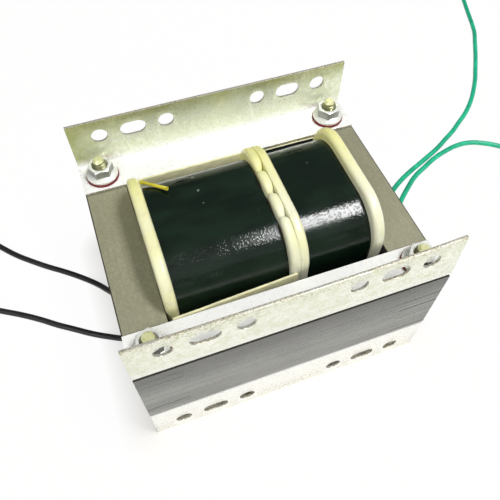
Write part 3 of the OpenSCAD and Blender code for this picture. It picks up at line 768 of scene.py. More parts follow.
def liner_board():
    """Cream pressboard with fibres."""
    return two_toned(
        "liner_board", colours().board, tones=(0.86, 1.08), rough=(0.5, 0.68), relief=(0.2, 0.06 * MM),
        patches=dict(stretch=(300, 300, 1400), detail=4, low=0.3, high=0.7))


def copper_wire():
    """Enamelled copper in close turns."""
    return two_toned(
        "copper_wire", colours().copper, tones=(0.6, 1), rough=(0.28, 0.42), relief=(0.5, 0.2 * MM),
        patches=dict(stretch=(2400, 30, 30), detail=2, low=0.3, high=0.7), Metallic=0.9)


# Pieces


def lead_line(name):
    """Route of a lead with its put-away coil, and where and how the insulation ends."""
    line = [Vector(p) for p in ROUTES[name]]
    run = sum((b - a).length for a, b in zip(line, line[1:]))
    end, ahead = line[-1], (line[-1] - line[-2]).normalized()
    if name not in COILS:
        return line, end, ahead, None
    coil_r = COILS[name][1]
    entry_r, first_r = coil_r + LEAD_R, coil_r - LEAD_R
    centre = Vector((end.x - ahead.y * entry_r, end.y + ahead.x * entry_r, 0))
    start = math.atan2(end.y - centre.y, end.x - centre.x)
    lie_z = sizes().tie_t + LEAD_R
    ease, pitch, step = math.radians(75), 2.04 * LEAD_R, math.radians(3)
    steps_per_point = 5

    def at(turn):
        share = min(turn / ease, 1)
        share *= share * (3 - 2 * share)
        r = entry_r + (first_r - entry_r) * share - pitch * max(turn - ease, 0) / math.tau
        z = end.z + (lie_z - end.z) * min(turn / (ease / 2), 1)
        return Vector((centre.x + r * math.cos(start + turn), centre.y + r * math.sin(start + turn), z))

    turn, last, marks = 0, end, []
    while run < sizes().lead_l:
        turn += step
        point = at(turn)
        run += (point - last).length
        last = point
        marks.append(point)
    line += marks[steps_per_point - 1::steps_per_point]
    if len(marks) % steps_per_point:
        line.append(last)
    return line, last, (last - marks[-2]).normalized(), (centre, start, at, turn)


def lead_curve(name, line, material, radius=LEAD_R):
    """Round insulation along a route."""
    data = bpy.data.curves.new(name, "CURVE")
    data.dimensions = "3D"
    data.bevel_depth = radius
    data.bevel_resolution = 5
    data.resolution_u = 6
    data.use_fill_caps = True
    data.materials.append(material)
    spline = data.splines.new("BEZIER")
    spline.bezier_points.add(len(line) - 1)
    for point, co in zip(spline.bezier_points, line):
        point.co = co
        point.handle_left_type = point.handle_right_type = "AUTO"
    lead = bpy.data.objects.new(name, data)
    bpy.context.scene.collection.objects.link(lead)
    return lead


def bare_end(name, place, aim, material):
    """Twisted, tinned strands that stand out of the insulation."""
    strands, rings, twist, groove, tip = 7, 10, math.radians(18), 0.78, 0.7
    length = sizes().tinned_l
    wire = begin(bpy.ops.mesh.primitive_circle_add, name, vertices=2 * strands, radius=sizes().tinned_d / 2,
                 fill_type="NGON")
    with editing(wire):
        pick(wire, "VERT", lambda v: v.index % 2)
        bpy.ops.transform.resize(value=(groove, groove, 1))
        pick(wire, "FACE")
        for _ in range(rings):
            push((0, 0, length / rings))
            bpy.ops.transform.rotate(value=twist, orient_axis="Z", center_override=(0, 0, 0))
        bpy.ops.transform.resize(value=(tip, tip, 1), center_override=(0, 0, length))
    tidy_mesh(wire)
    wire.data.transform(Matrix.Translation(place) @ aim.to_track_quat("Z", "Y").to_matrix().to_4x4())
    return dress(wire, ["tinned_ends"], material)


def coil_tie(name, coil, angle, material):
    """Strap round the turns of a put-away coil, with its locking head on top."""
    centre, start, at, last = coil
    turn = (math.radians(angle) - start) % math.tau
    turns = [at(t) - Vector((centre.x, centre.y, 0)) for t in (turn, turn + math.tau) if t <= last]
    radii = [p.xy.length for p in turns]
    inner, outer = min(radii) - LEAD_R, max(radii) + LEAD_R
    across = (inner + outer) / 2
    t, w = sizes().tie_t, sizes().tie_w
    corner_r, corner_steps, edge_break = 0.9 * LEAD_R, 6, 0.3 * t
    head_l, head_w, head_h = 1.5 * w, 1.2 * w, 0.7 * w
    mouth_wall, mouth_l = 0.15 * w, 0.5 * w
    strap = flat(name, outer - inner, 2 * LEAD_R, (across, -w / 2, t + LEAD_R), (QUARTER_TURN, 0, 0))
    with editing(strap):
        pick(strap, "VERT")
        round_off("VERTICES", corner_r, corner_steps)
        pick(strap, "FACE")
        push((0, w, 0))
        pick(strap, "FACE", facing(1))
        bpy.ops.mesh.delete(type="FACE")
        pick(strap, "FACE")
        bpy.ops.mesh.normals_make_consistent(inside=False)
    modify(strap, "SOLIDIFY", thickness=t, offset=1)
    head = block(name, (head_l, head_w, head_h), (across, 0, 2 * t + 2 * LEAD_R + head_h / 2))
    with editing(head):
        pick(head, "FACE", lambda f: f.normal.x > SQUARE_ON)
        bpy.ops.mesh.inset(thickness=mouth_wall)
        push((mouth_l, 0, 0))
    strap = join([strap, head], name)
    break_edges(strap, edge_break)
    strap.data.transform(Matrix.Translation(centre) @ Matrix.Rotation(math.radians(angle), 4, "Z"))
    return dress(strap, ["coil_ties"], material)


class TRANSFORMER_OT_leads(bpy.types.Operator):
    """Four leads of one length, three of them with their ends put away in coils."""

    bl_idname = "transformer.leads"
    bl_label = "Leads"

    def execute(self, context):
        insulation = {
            "black": soft_plastic("black_lead", colours().black_lead, smooth=0.32, dull=0.5),
            "green": soft_plastic("green_lead", colours().green_lead, smooth=0.3, dull=0.46),
        }
        tinned = plated("tinned_wire", colours().tinned, roughness=0.28, metal=0.8)
        white = soft_plastic("white_tie", colours().tie, smooth=0.4, dull=0.55)
        turn_in = 0.36
        for name in ROUTES:
            finish = name.split("_")[0]
            line, end, aim, coil = lead_line(name)
            lead = lead_curve(name + "_wire", line, insulation[finish])
            nodes, extras = [name], []
            if coil:
                node, _, angle = COILS[name]
                nodes.append(node)
                aim = (aim + turn_in * (coil[0] - end).to_2d().to_3d().normalized()).normalized()
                extras.append(coil_tie(name + "_tie", coil, angle, white))
            extras.append(bare_end(name + "_end", end, aim, tinned))
            dress(lead, nodes)
            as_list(extras)
        return {"FINISHED"}


def core_sheet(name, x0, x1, windows):
    """One flat core sheet with its bolt holes, lying at the bottom of the stack."""
    s = sizes()
    film, bolt_clear, drill_l = 0.03 * MM, 0.15 * MM, 4 * MM
    sheet = flat(name, x1 - x0, CORE_HIGH.y - CORE_LOW.y, ((x0 + x1) / 2, 0, CORE_LOW.z))
    with editing(sheet):
        if windows:
            yoke_x, near_y, far_y = x0 + s.yoke_w, s.tongue_w / 2, s.tongue_w / 2 + s.window_w
            cuts = [((yoke_x, 0, 0), (1, 0, 0))]
            cuts += [((0, sign * y, 0), (0, 1, 0)) for y in (near_y, far_y) for sign in (-1, 1)]
            for place, across in cuts:
                pick(sheet, "FACE")
                bpy.ops.mesh.bisect(plane_co=place, plane_no=across)
            pick(sheet, "FACE", lambda f: (f.calc_center_median().x > yoke_x
                                           and near_y < abs(f.calc_center_median().y) < far_y))
            bpy.ops.mesh.delete(type="FACE")
        pick(sheet, "FACE")
        push((0, 0, s.sheet_t - film))
    tidy_mesh(sheet)
    for place in BOLT_PLACES:
        if x0 < place.x < x1:
            cut(sheet, rod("drill", 24, SLEEVE_R + bolt_clear, drill_l, (place.x, place.y, CORE_LOW.z)))
    return sheet


def stack_sheets(name, sheet):
    """Packets of sheets, each packet turned end for end from the one below, a little out of line."""
    s = sizes()
    guard = 0.1 * s.sheet_t
    packet_h = s.sheets_per_packet * s.sheet_t
    packets = round((CORE_HIGH.z - CORE_LOW.z) / packet_h)
    repeat(sheet, s.sheets_per_packet, s.sheet_t)
    other = twin(sheet, name, moved(0, 0, packet_h) @ Matrix.Rotation(math.pi, 4, "Z"))
    repeat(sheet, (packets + 1) // 2, 2 * packet_h)
    repeat(other, packets // 2, 2 * packet_h)
    stack = join([sheet, other], name)
    chance = random.Random(name)
    slips = [(chance.uniform(-1, 1), chance.uniform(-1, 1)) for _ in range(s.sheets_per_packet * packets + 1)]
    for v in stack.data.vertices:
        slip = slips[int((v.co.z - CORE_LOW.z + guard) / s.sheet_t)]
        v.co.x += s.sheet_slip * slip[0]
        v.co.y += s.sheet_slip * slip[1]
    return stack


class TRANSFORMER_OT_core(bpy.types.Operator):
    """Core of E and I sheets, sheet by sheet."""

    bl_idname = "transformer.core"
    bl_label = "Core"

    def execute(self, context):
        faces, edges = sheet_faces(), sheet_edges()
        joint_x = CORE_HIGH.x - sizes().yoke_w
        e_sheet = core_sheet("e_sheet", CORE_LOW.x, joint_x, windows=True)
        i_sheet = core_sheet("i_sheet", joint_x, CORE_HIGH.x, windows=False)
        for sheet, name, node in (
                (e_sheet, "e_sheets", "e_laminations"), (i_sheet, "i_sheets", "i_laminations")):
            stack = stack_sheets(name, sheet)
            paint(stack, faces, edges, lambda f: abs(f.normal.z) <= HALF_ON)
            dress(stack, [node])
        return {"FINISHED"}


def bracket_holes():
    """Cutters for the flange's holes and slots, and for the bolts through the seat."""
    s = sizes()
    through, bolt_hole_r = 8 * MM, 3.45 * MM
    cutters = []
    for side in (-1, 1):
        for place in range(3):
            x = side * (SEAT_HIGH.x - s.hole_margin - place * s.hole_pitch)
            hole = rod("hole", 48, s.hole_d / 2, through, (x, SEAT_LOW.y, SEAT_LOW.z + s.hole_row_h),
                       (QUARTER_TURN, 0, 0))
            if place == 1:
                with editing(hole):
                    for half in (-1, 1):
                        pick(hole, "VERT", lambda v: half * (v.co.x - x) > SAME_PLACE)
                        bpy.ops.transform.translate(value=(half * (s.slot_l - s.hole_d) / 2, 0, 0))
            cutters.append(hole)
    for place in BOLT_PLACES:
        if place.y < 0:
            cutters.append(rod("hole", 48, bolt_hole_r, through, (place.x, place.y, SEAT_LOW.z)))
    return join(cutters, "holes")


def angle_bracket(zinc, bare):
    """Bent and drilled sheet on the core's front top edge, in two finishes."""
    s = sizes()
    bend_steps, cuts_along = 8, 36
    sheet = flat("bracket", SEAT_HIGH.x - SEAT_LOW.x, SEAT_HIGH.y - SEAT_LOW.y,
                 (0, (SEAT_LOW.y + SEAT_HIGH.y) / 2, SEAT_LOW.z))
    with editing(sheet):
        pick(sheet, "EDGE", lambda e: near(middle(e).y, SEAT_LOW.y))
        push((0, 0, SEAT_HIGH.z - SEAT_LOW.z))
        pick(sheet, "EDGE", lambda e: near(middle(e).y, SEAT_LOW.y) and near(middle(e).z, SEAT_LOW.z))
        round_off("EDGES", s.bend_r, bend_steps)
        pick(sheet, "EDGE", lambda e: near(middle(e).x, 0) and e.calc_length() > s.slot_l)
        bpy.ops.mesh.subdivide(number_cuts=cuts_along)
        pick(sheet, "FACE")
        bpy.ops.mesh.normals_make_consistent(inside=False)
    seat = max(sheet.data.polygons, key=lambda f: f.normal.z)
    inward = 1 if seat.normal.z > HALF_ON else -1
    modify(sheet, "SOLIDIFY", thickness=s.bracket_t, offset=inward, use_even_offset=True)
    tidy_mesh(sheet)
    cut(sheet, bracket_holes())
    break_edges(sheet, s.edge_break, angle=50)
    paint(sheet, zinc, bare, is_cut_edge)
    return sheet


def is_cut_edge(face):
    """Whether a bracket's face is a sheared edge or the wall of a hole."""
    bend_r = sizes().bend_r
    if face.center.z > SEAT_LOW.z + bend_r:
        return abs(face.normal.y) < HALF_ON
    if face.center.y > SEAT_LOW.y + bend_r:
        return abs(face.normal.z) < HALF_ON
    return abs(face.normal.x) > HALF_ON


def bow(bracket, lean, seed):
    """Let a bracket's flange bow in waves and lean in at its right end a little, as bent sheet does."""
    amount, waves, stiff_h = 0.2 * MM, 18, 2 * MM
    for v in bracket.data.vertices:
        up = max(abs(v.co.z - MID_Z) - (SEAT_LOW.z - MID_Z) - stiff_h, 0) / (SEAT_HIGH.z - SEAT_LOW.z)
        wave = noise.noise(Vector((v.co.x * waves, seed, 0)))
        inward = -math.copysign(1, v.co.y)
        v.co.y += inward * up * (amount * (1 + wave) + lean * max(v.co.x / SEAT_HIGH.x, 0) ** 2)


class TRANSFORMER_OT_brackets(bpy.types.Operator):
    """Four angle brackets, each with its own slight bow."""

    bl_idname = "transformer.brackets"
    bl_label = "Brackets"

    def execute(self, context):
        first = angle_bracket(galvanised_sheet(), cut_steel())
        for place, angle, axis, lean, seed in (
                ("rear_upper", 180, "Z", 0, 18), ("rear_lower", 180, "X", 0, 18),
                ("front_lower", 180, "Y", 0, 19), ("front_upper", 0, "Z", 1.2 * MM, 19)):
            piece = twin(first, place + "_angle", turned(angle, axis))
            bow(piece, lean, seed)
            dress(piece, [place + "_bracket"])
        bpy.data.objects.remove(first)
        return {"FINISHED"}


def hexagon(name, height):
    """Hexagon prism with its top corners turned off, standing on Z = 0."""
    flat_r = sizes().hex_af / 2
    corner_r = flat_r / math.cos(math.pi / 6)
    bar_r, face_r, chamfer = corner_r + 0.1 * MM, 0.97 * flat_r, 0.45 * MM
    prism = rod(name, 6, corner_r, height, (0, 0, height / 2), (0, 0, math.pi / 6))
    bar = rod("bar", 64, bar_r, height, (0, 0, height / 2))
    with editing(bar):
        pick(bar, "FACE", is_top)
        bpy.ops.mesh.inset(thickness=bar_r - face_r)
        pick(bar, "VERT", lambda v: v.co.z > height / 2 and v.co.xy.length > flat_r)
        bpy.ops.transform.translate(value=(0, 0, -chamfer))
    cut(prism, bar, "INTERSECT")
    return prism


def thread(name, z0, z1):
    """Screw thread on a bolt: a core and one ridge wound up round it."""
    s = sizes()
    root_r, ridge_r = s.bolt_d / 2 - 0.55 * s.thread_pitch, 0.56 * s.thread_pitch
    plain_l, point, steps = 0.9 * MM, 0.8 * MM, 24
    turns = int((z1 - plain_l - z0) / s.thread_pitch)
    ridge = begin(bpy.ops.mesh.primitive_circle_add, name, vertices=3, radius=ridge_r,
                  rotation=(QUARTER_TURN, 0, 0))
    ridge.data.transform(Matrix.Rotation(QUARTER_TURN, 4, "Y"))
    out = s.bolt_d / 2 - max(v.co.x for v in ridge.data.vertices)
    ridge.data.transform(moved(out, 0, z0))
    modify(ridge, "SCREW", axis="Z", steps=steps, render_steps=steps, screw_offset=s.thread_pitch,
           iterations=turns, use_merge_vertices=True, merge_threshold=1e-7)
    bar = rod(name, 32, root_r, z1 - z0, (0, 0, (z0 + z1) / 2))
    with editing(bar):
        pick(bar, "EDGE", lambda e: level(e, 2, z1, 10 * SAME_PLACE))
        round_off("EDGES", point, 1)
    return join([bar, ridge], name)


def clamp_bolt(plain, shaded_thread):
    """Hexagon bolt, head down, threaded at its upper end, in two finishes: the thread below its tip in a
    darker copy as painted shade.
    """
    thread_below_nut, neck, tip = 8 * MM, 0.4 * MM, 0.85 * MM
    head_h = WASHER_LOW.z - BOLT_LOW.z
    head = hexagon("bolt", head_h)
    head.data.transform(moved(0, 0, WASHER_LOW.z) @ Matrix.Rotation(math.pi, 4, "X"))
    low_z, neck_z = WASHER_LOW.z - head_h / 2, NUT_LOW.z - thread_below_nut
    shank = rod("shank", 32, sizes().bolt_d / 2, neck_z - low_z, (0, 0, (neck_z + low_z) / 2))
    with editing(shank):
        pick(shank, "FACE", is_top)
        bpy.ops.mesh.inset(thickness=neck)
        bpy.ops.transform.translate(value=(0, 0, neck))
    screw = thread("thread", neck_z, BOLT_HIGH.z)
    for part in (head, shank):
        paint(part, plain, shaded_thread)
    # Painted shade: the thread below the tip takes the darker copy
    paint(screw, plain, shaded_thread, lambda f: f.center.z <= BOLT_HIGH.z - tip)
    return join([head, shank, screw], "bolt")


def flange_nut(plain, flats):
    """Hexagon nut on a sloping round flange, in two finishes: its upright flats in a darker copy as painted
    shade.
    """
    height, foot = NUT_HIGH.z - NUT_LOW.z, 0.5 * MM
    flange_t, slope_h, slope_share = 1 * MM, 0.9 * MM, 0.66
    bore_clear, flare_h, flare_share = 0.1 * MM, 1.2 * MM, 1.35
    flange_sides, bore_sides, upright = 64, 48, 0.3
    nut = hexagon("nut", height - foot)
    break_edges(nut, 0.15 * MM, angle=25)
    nut.data.transform(moved(0, 0, foot))
    flange = rod("flange", flange_sides, NUT_HIGH.x - BOLT_PLACES[-1].x, flange_t, (0, 0, flange_t / 2),
                 (0, 0, math.pi / flange_sides))
    with editing(flange):
        pick(flange, "FACE", is_top)
        push((0, 0, slope_h))
        bpy.ops.transform.resize(value=(slope_share, slope_share, 1), center_override=(0, 0, 0))
    break_edges(flange, 0.2 * MM, angle=25, steps=3)
    cut(nut, flange, "UNION")
    bore = rod("bore", bore_sides, sizes().bolt_d / 2 + bore_clear, 2 * height, (0, 0, -flare_h / 2),
               (0, 0, math.pi / (2 * bore_sides)))
    with editing(bore):
        pick(bore, "FACE", is_top)
        push((0, 0, flare_h))
        bpy.ops.transform.resize(value=(flare_share, flare_share, 1), center_override=(0, 0, 0))
    cut(nut, bore)
    # Painted shade: the hexagon's upright flats take the darker copy of the zinc
    paint(nut, plain, flats, lambda f: abs(f.normal.z) < upright and f.center.z > flange_t)
    nut.data.transform(moved(0, 0, NUT_LOW.z))
    return nut


def fibre_washer():
    """Ring cut from fibre sheet, its outline a little uneven."""
    t, outer = sizes().washer_t, WASHER_HIGH.x - BOLT_PLACES[-1].x
    bolt_clear, edge_break = 0.15 * MM, 0.2 * MM
    unevenness, bumps, outline_from = 0.02, 700, 0.8 * outer
    ring = rod("washer", 72, outer, t, (0, 0, t / 2))
    with editing(ring):
        pick(ring, "FACE", facing(2))
        bpy.ops.mesh.inset(thickness=outer - sizes().bolt_d / 2 - bolt_clear)
        bpy.ops.mesh.bridge_edge_loops()
    tidy_mesh(ring)
    break_edges(ring, edge_break, angle=50)
    for v in ring.data.vertices:
        if v.co.xy.length > outline_from:
            v.co.xy *= 1 - unevenness * abs(noise.noise(v.co * bumps))
    return ring


class TRANSFORMER_OT_fasteners(bpy.types.Operator):
    """Clamp bolts, nuts and washers at the four corners, each turned its own way."""

    bl_idname = "transformer.fasteners"
    bl_label = "Fasteners"

    def execute(self, context):
        yellow = plated("yellow_zinc", colours().bolt, roughness=0.3, metal=0.35)
        bright = plated("bright_zinc", colours().nut, roughness=0.25, metal=0.3)
        # Darker copy of the nuts' zinc: painted shade for the hexagon's flats
        flats = plated("nut_flats_shade", scaled(colours().nut, 0.36), roughness=0.3, metal=0.5)
        # Darker copy of the bolts' yellow zinc: painted shade on the thread
        shaded_thread = plated("thread_shade", scaled(colours().bolt, 0.4), roughness=0.35, metal=0.7)
        bolt, nut, washer = clamp_bolt(yellow, shaded_thread), flange_nut(bright, flats), fibre_washer()
        bolts, nuts, washers = [], [], []
        for place, angle in zip(BOLT_PLACES, (20, 0, -12, 10)):
            stand = Matrix.Translation(place) @ Matrix.Rotation(math.radians(angle), 4, "Z")
            bolts.append(twin(bolt, "bolt", stand))
            nuts.append(twin(nut, "nut", stand))
            for z in (WASHER_LOW.z, WASHER_HIGH.z - sizes().washer_t):
                washers.append(twin(washer, "washer", stand @ moved(0, 0, z)))
        for model in (bolt, nut, washer):
            bpy.data.objects.remove(model)
        dress(join(bolts, "bolts"), ["clamp_bolts"])
        dress(join(nuts, "nuts"), ["flange_nuts"])
        dress(join(washers, "washers"), ["fibre_washers"], red_fibre())
        repaint("bolt_sleeves", soft_plastic("insulating_tube", colours().tube, smooth=0.45, dull=0.6))
        return {"FINISHED"}


def rounded_plate(name, x0, x1, half_y, half_z, r, step):
    """Plate across the coil axis with rounded corners, finely divided along its outline."""
    corner_steps = 48
    plate = flat(name, 2 * half_z, 2 * half_y, (x0, 0, MID_Z), (0, QUARTER_TURN, 0))
    with editing(plate):
        pick(plate, "VERT")
        round_off("VERTICES", r, corner_steps)
        pick(plate, "FACE")
        bpy.ops.mesh.delete(type="ONLY_FACE")
        for long in (half_y - r, half_z - r):
            pick(plate, "EDGE", lambda e: near(e.calc_length(), 2 * long, 10 * SAME_PLACE))
            bpy.ops.mesh.subdivide(number_cuts=round(2 * long / step))
        pick(plate, "EDGE")
        bpy.ops.mesh.edge_face_add()
        push((x1 - x0, 0, 0))
    tidy_mesh(plate)
    return plate


def round_the_coil(co, half_y, half_z, r):
    """Way along a rounded outline from the middle of its top or bottom, depth in it and direction out."""
    flat_y, flat_z = half_y - r, half_z - r
    side, up = math.copysign(1, co.y), math.copysign(1, co.z - MID_Z)
    y, z = abs(co.y) - flat_y, abs(co.z - MID_Z) - flat_z
    if y <= 0 and z > 0:
        return co.y, r - z, Vector((0, 0, up))
    if z <= 0:
        return side * (flat_y + r * QUARTER_TURN - z), r - y, Vector((0, side, 0))
    turn = math.atan2(y, z)
    out = Vector((0, side * math.sin(turn), up * math.cos(turn)))
    return side * (flat_y + r * turn), r - math.hypot(y, z), out


def bobbin_rim(name, x0, x1, step=1 * MM):
    """Flange of a bobbin: a plate with round edges, tighter at the seam, and the opening for the tube."""
    s = sizes()
    seam_steps, edge_steps = 4, 9
    rim = rounded_plate(name, x0, x1, RIM_HALF_Y, RIM_HALF_Z, s.rim_r, step)
    with editing(rim):
        for x in (x0, x1):
            pick(rim, "EDGE", lambda e: level(e, 0, x))
            if near(x, SEAM_X):
                round_off("EDGES", s.seam_edge_r, seam_steps)
            else:
                round_off("EDGES", s.rim_edge_r, edge_steps)
    tube_y, tube_z = tube_half()
    cut(rim, block("opening", (4 * s.rim_t, 2 * tube_y, 2 * tube_z), (x0, 0, MID_Z)))
    return rim


def tube_half():
    """Half sizes of the bobbins' tube, outside."""
    past_core = 1.8 * MM
    return sizes().tongue_w / 2 + past_core, (CORE_HIGH.z - CORE_LOW.z) / 2 + past_core


def bobbin_tube(name, x0, x1):
    """Square tube between the flanges."""
    wall = 1.5 * MM
    tube_y, tube_z = tube_half()
    tube = block(name, (x1 - x0, 2 * tube_y, 2 * tube_z), ((x0 + x1) / 2, 0, MID_Z))
    with editing(tube):
        pick(tube, "FACE", facing(0))
        bpy.ops.mesh.delete(type="FACE")
    modify(tube, "SOLIDIFY", thickness=wall, offset=-1)
    return tube


def drill_lead_holes(rim, leads):
    """Holes for a pair of leads through a flange."""
    clear, drill_l = 0.2 * MM, 20 * MM
    for lead in leads:
        cut(rim, rod("drill", 32, LEAD_R + clear, drill_l, ROUTES[lead][0], (0, QUARTER_TURN, 0)))


def shape_pads(rim):
    """Turn a rim's top into round pads, with narrow notches between them that are deepest at the seam."""
    s = sizes()
    notches = [s.pad_shift + k * s.pad_pitch for k in (-1, 0, 1)]
    half_pad, pinch, pad_h, cuts_across = s.pad_pitch / 2, 3.2, 5 * MM, 6
    far_share, waist, waist_at = 0.85, 0.7, 0.75
    crown_h, crown_from, row_half = 0.6 * MM, 0.3, 1.6 * s.pad_pitch
    with editing(rim):
        pick(rim, "EDGE", lambda e: span(e, 0) > 1 * MM
             and round_the_coil(middle(e), RIM_HALF_Y, RIM_HALF_Z, s.rim_r)[1] < 0.1 * MM)
        bpy.ops.mesh.subdivide(number_cuts=cuts_across)
    for v in rim.data.vertices:
        if v.co.z < MID_Z:
            continue
        way, depth, out = round_the_coil(v.co, RIM_HALF_Y, RIM_HALF_Z, s.rim_r)
        gap = min(abs(way - n) for n in notches)
        sink = s.notch_depth * max(0, 1 - gap / half_pad) ** pinch
        hold = max(0, 1 - depth / pad_h)
        across = (v.co.x - SEAM_X) / s.inner_rim_t + 1
        in_row = 1 - max(0, abs(way - s.pad_shift) - row_half) / half_pad
        crown = crown_h * (max(0, across - crown_from) / (1 - crown_from)) ** 2 * max(0, min(in_row, 1))
        v.co -= out * hold * (sink * (far_share + (1 - far_share) * across) + crown)
        v.co.x += waist * sink * hold * (waist_at - across)


class TRANSFORMER_OT_bobbins(bpy.types.Operator):
    """Two bobbins end to end on the tongue. The left one's inner flange has pads between its notches."""

    bl_idname = "transformer.bobbins"
    bl_label = "Bobbins"

    def execute(self, context):
        s = sizes()
        nylon = natural_nylon()
        outer = bobbin_rim("left_outer", LEFT_LOW.x, LEFT_LOW.x + s.rim_t)
        drill_lead_holes(outer, ("black_lead_1", "black_lead_2"))
        inner = bobbin_rim("left_inner", SEAM_X - s.inner_rim_t, SEAM_X, step=0.2 * MM)
        shape_pads(inner)
        left = join([outer, inner, bobbin_tube("left_tube", LEFT_LOW.x, SEAM_X)], "left_spool")
        dress(left, ["left_bobbin"], nylon)
        inner = bobbin_rim("right_inner", SEAM_X, SEAM_X + s.inner_rim_t)
        outer = bobbin_rim("right_outer", RIGHT_HIGH.x - s.rim_t, RIGHT_HIGH.x)
        drill_lead_holes(outer, ("green_lead_1", "green_lead_2"))
        right = join([outer, inner, bobbin_tube("right_tube", SEAM_X, RIGHT_HIGH.x)], "right_spool")
        dress(right, ["right_bobbin"], nylon)
        return {"FINISHED"}


def film_wrap(name, node, lap_share):
    """Film wound over a winding in two widths, the right one lapping over the left."""
    s = sizes()
    cut_step, shortest, lap_w = 0.5 * MM, 5 * MM, 0.16 * MM
    swell_h, swells_along, swells_round = 0.1 * MM, 60, 90
    low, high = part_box(node)
    half_y, half_z = high.y, high.z - MID_Z
    lap_x = low.x + lap_share * (high.x - low.x)
    film = rounded_plate(name, low.x, high.x, half_y, half_z, s.wrap_r, step=1 * MM)
    with editing(film):
        pick(film, "FACE", facing(0))
        bpy.ops.mesh.delete(type="ONLY_FACE")
        pick(film, "EDGE", lambda e: span(e, 0) > shortest)
        bpy.ops.mesh.subdivide(number_cuts=round((high.x - low.x) / cut_step))
    for v in film.data.vertices:
        _, _, out = round_the_coil(v.co, half_y, half_z, s.wrap_r)
        lap = 1 / (1 + math.exp((lap_x - v.co.x) / lap_w))
        at = Vector((v.co.x * swells_along, v.co.y * swells_round, v.co.z * swells_round))
        v.co += out * (s.tape_step * (lap - 1) + swell_h * (noise.noise(at) - 1))
    modify(film, "SOLIDIFY", thickness=s.wrap_t, offset=-1)
    return film


class TRANSFORMER_OT_windings(bpy.types.Operator):
    """Copper windings under their black wraps."""

    bl_idname = "transformer.windings"
    bl_label = "Windings"

    def execute(self, context):
        film, copper = black_wrap(), copper_wire()
        for side, lap_share in (("left", 0.55), ("right", 0.46)):
            wrap = film_wrap(side + "_film", side + "_wrap", lap_share)
            dress(wrap, [side + "_wrap"], film)
            repaint(side + "_winding", copper)
        return {"FINISHED"}


def liner(name, node, inward, board, face):
    """Board in a window, by the outer leg at its left end and a little inward of it at its right end."""
    low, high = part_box(node)
    t = sizes().liner_t
    out = math.copysign(1, low.y)
    middle_y = out * (max(abs(low.y), abs(high.y)) - t / 2)
    ripple_h, ripples_along, ripples_up = 0.1 * MM, 70, 40
    ragged_h, rags_along, edge_break = 0.12 * MM, 160, 0.12 * MM
    broad, past_edge = 0.8, 0.3 * t
    sheet = block(name, (high.x - low.x, t, high.z - low.z),
                  ((low.x + high.x) / 2, middle_y, (low.z + high.z) / 2))
    with editing(sheet):
        for axis, shortest, cuts in ((0, 5 * MM, 23), (2, 5 * MM, 7), (1, 0.5 * t, 3)):
            pick(sheet, "EDGE", lambda e: span(e, axis) > shortest)
            bpy.ops.mesh.subdivide(number_cuts=cuts)
    break_edges(sheet, edge_break, angle=60)
    paint(sheet, board, face, lambda f: abs(f.normal.y) > broad or abs(f.center.y - middle_y) > past_edge)
    for v in sheet.data.vertices:
        share = (v.co.x - low.x) / (high.x - low.x)
        ripple = noise.noise(Vector((v.co.x * ripples_along, v.co.z * ripples_up, 3)))
        ragged = noise.noise(Vector((v.co.x * rags_along, 7, 0)))
        v.co.y -= out * (inward * share + ripple_h * (1 + ripple))
        v.co.z += ragged_h * ragged * math.copysign(1, v.co.z - MID_Z)
    return sheet


def start_sleeve(yellow):
    """Straight sleeve over the winding's start, across the wrap's upper rear corner, with the wire inside."""
    low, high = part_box("start_sleeve")
    r = sizes().start_sleeve_r
    wire_r, wall = 0.4 * r, 0.35 * r
    ahead = Vector((high.x - low.x, low.y - high.y, high.z - low.z)).normalized()
    inset = [r * math.sqrt(1 - c * c) for c in ahead]
    root = Vector((low.x + inset[0], high.y - inset[1], low.z + inset[2]))
    tip = Vector((high.x - inset[0], low.y + inset[1], high.z - inset[2]))
    places, widths = (0, 0.3, 0.6, 0.85, 1), (0.95, 0.88, 0.86, 0.9, 1)
    line = [root.lerp(tip, share) for share in places]
    sleeve = lead_curve("sleeve", line, yellow, r)
    sleeve.data.use_fill_caps = False
    for point, width in zip(sleeve.data.splines[0].bezier_points, widths):
        point.radius = width
    wire = lead_curve("start_wire", line[:-1], yellow, wire_r)
    for obj in (sleeve, wire):
        alone(obj)
        bpy.ops.object.convert(target="MESH")
    modify(sleeve, "SOLIDIFY", thickness=wall, offset=-1)
    tidy_mesh(wire)
    return join([sleeve, wire], "start_tube")


class TRANSFORMER_OT_liners(bpy.types.Operator):
    """Cream boards in the windows and the yellow sleeve on the winding's start."""

    bl_idname = "transformer.liners"
    bl_label = "Liners"

    def execute(self, context):
        board, dark = liner_board(), bpy.data.materials["black_wrap"]
        low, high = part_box("left_front_liner")
        slant = high.y - low.y - sizes().liner_t
        for place, inward, face in (
                ("left_front", slant, board), ("left_rear", 0, board), ("right_rear", 0, dark)):
            node = place + "_liner"
            dress(liner(place + "_board", node, inward, board, face), [node])
        yellow = soft_plastic("yellow_sleeve", colours().sleeve, smooth=0.3, dull=0.45)
        dress(start_sleeve(yellow), ["start_sleeve"])
        return {"FINISHED"}


def lamp(name, place, size, power):
    """Soft box that looks at the middle of the transformer, its second side running from front to rear."""
    bpy.ops.object.light_add(type="AREA", location=place)
    light = bpy.context.object
    light.name = name
    light.data.shape = "RECTANGLE"
    light.data.size, light.data.size_y = size
    light.data.energy = power
    back = (Vector(place) - Vector((0, 0, MID_Z))).normalized()
    side = Vector((0, 1, 0)).cross(back).normalized()
    light.rotation_euler = Matrix((side, back.cross(side), back)).transposed().to_euler()


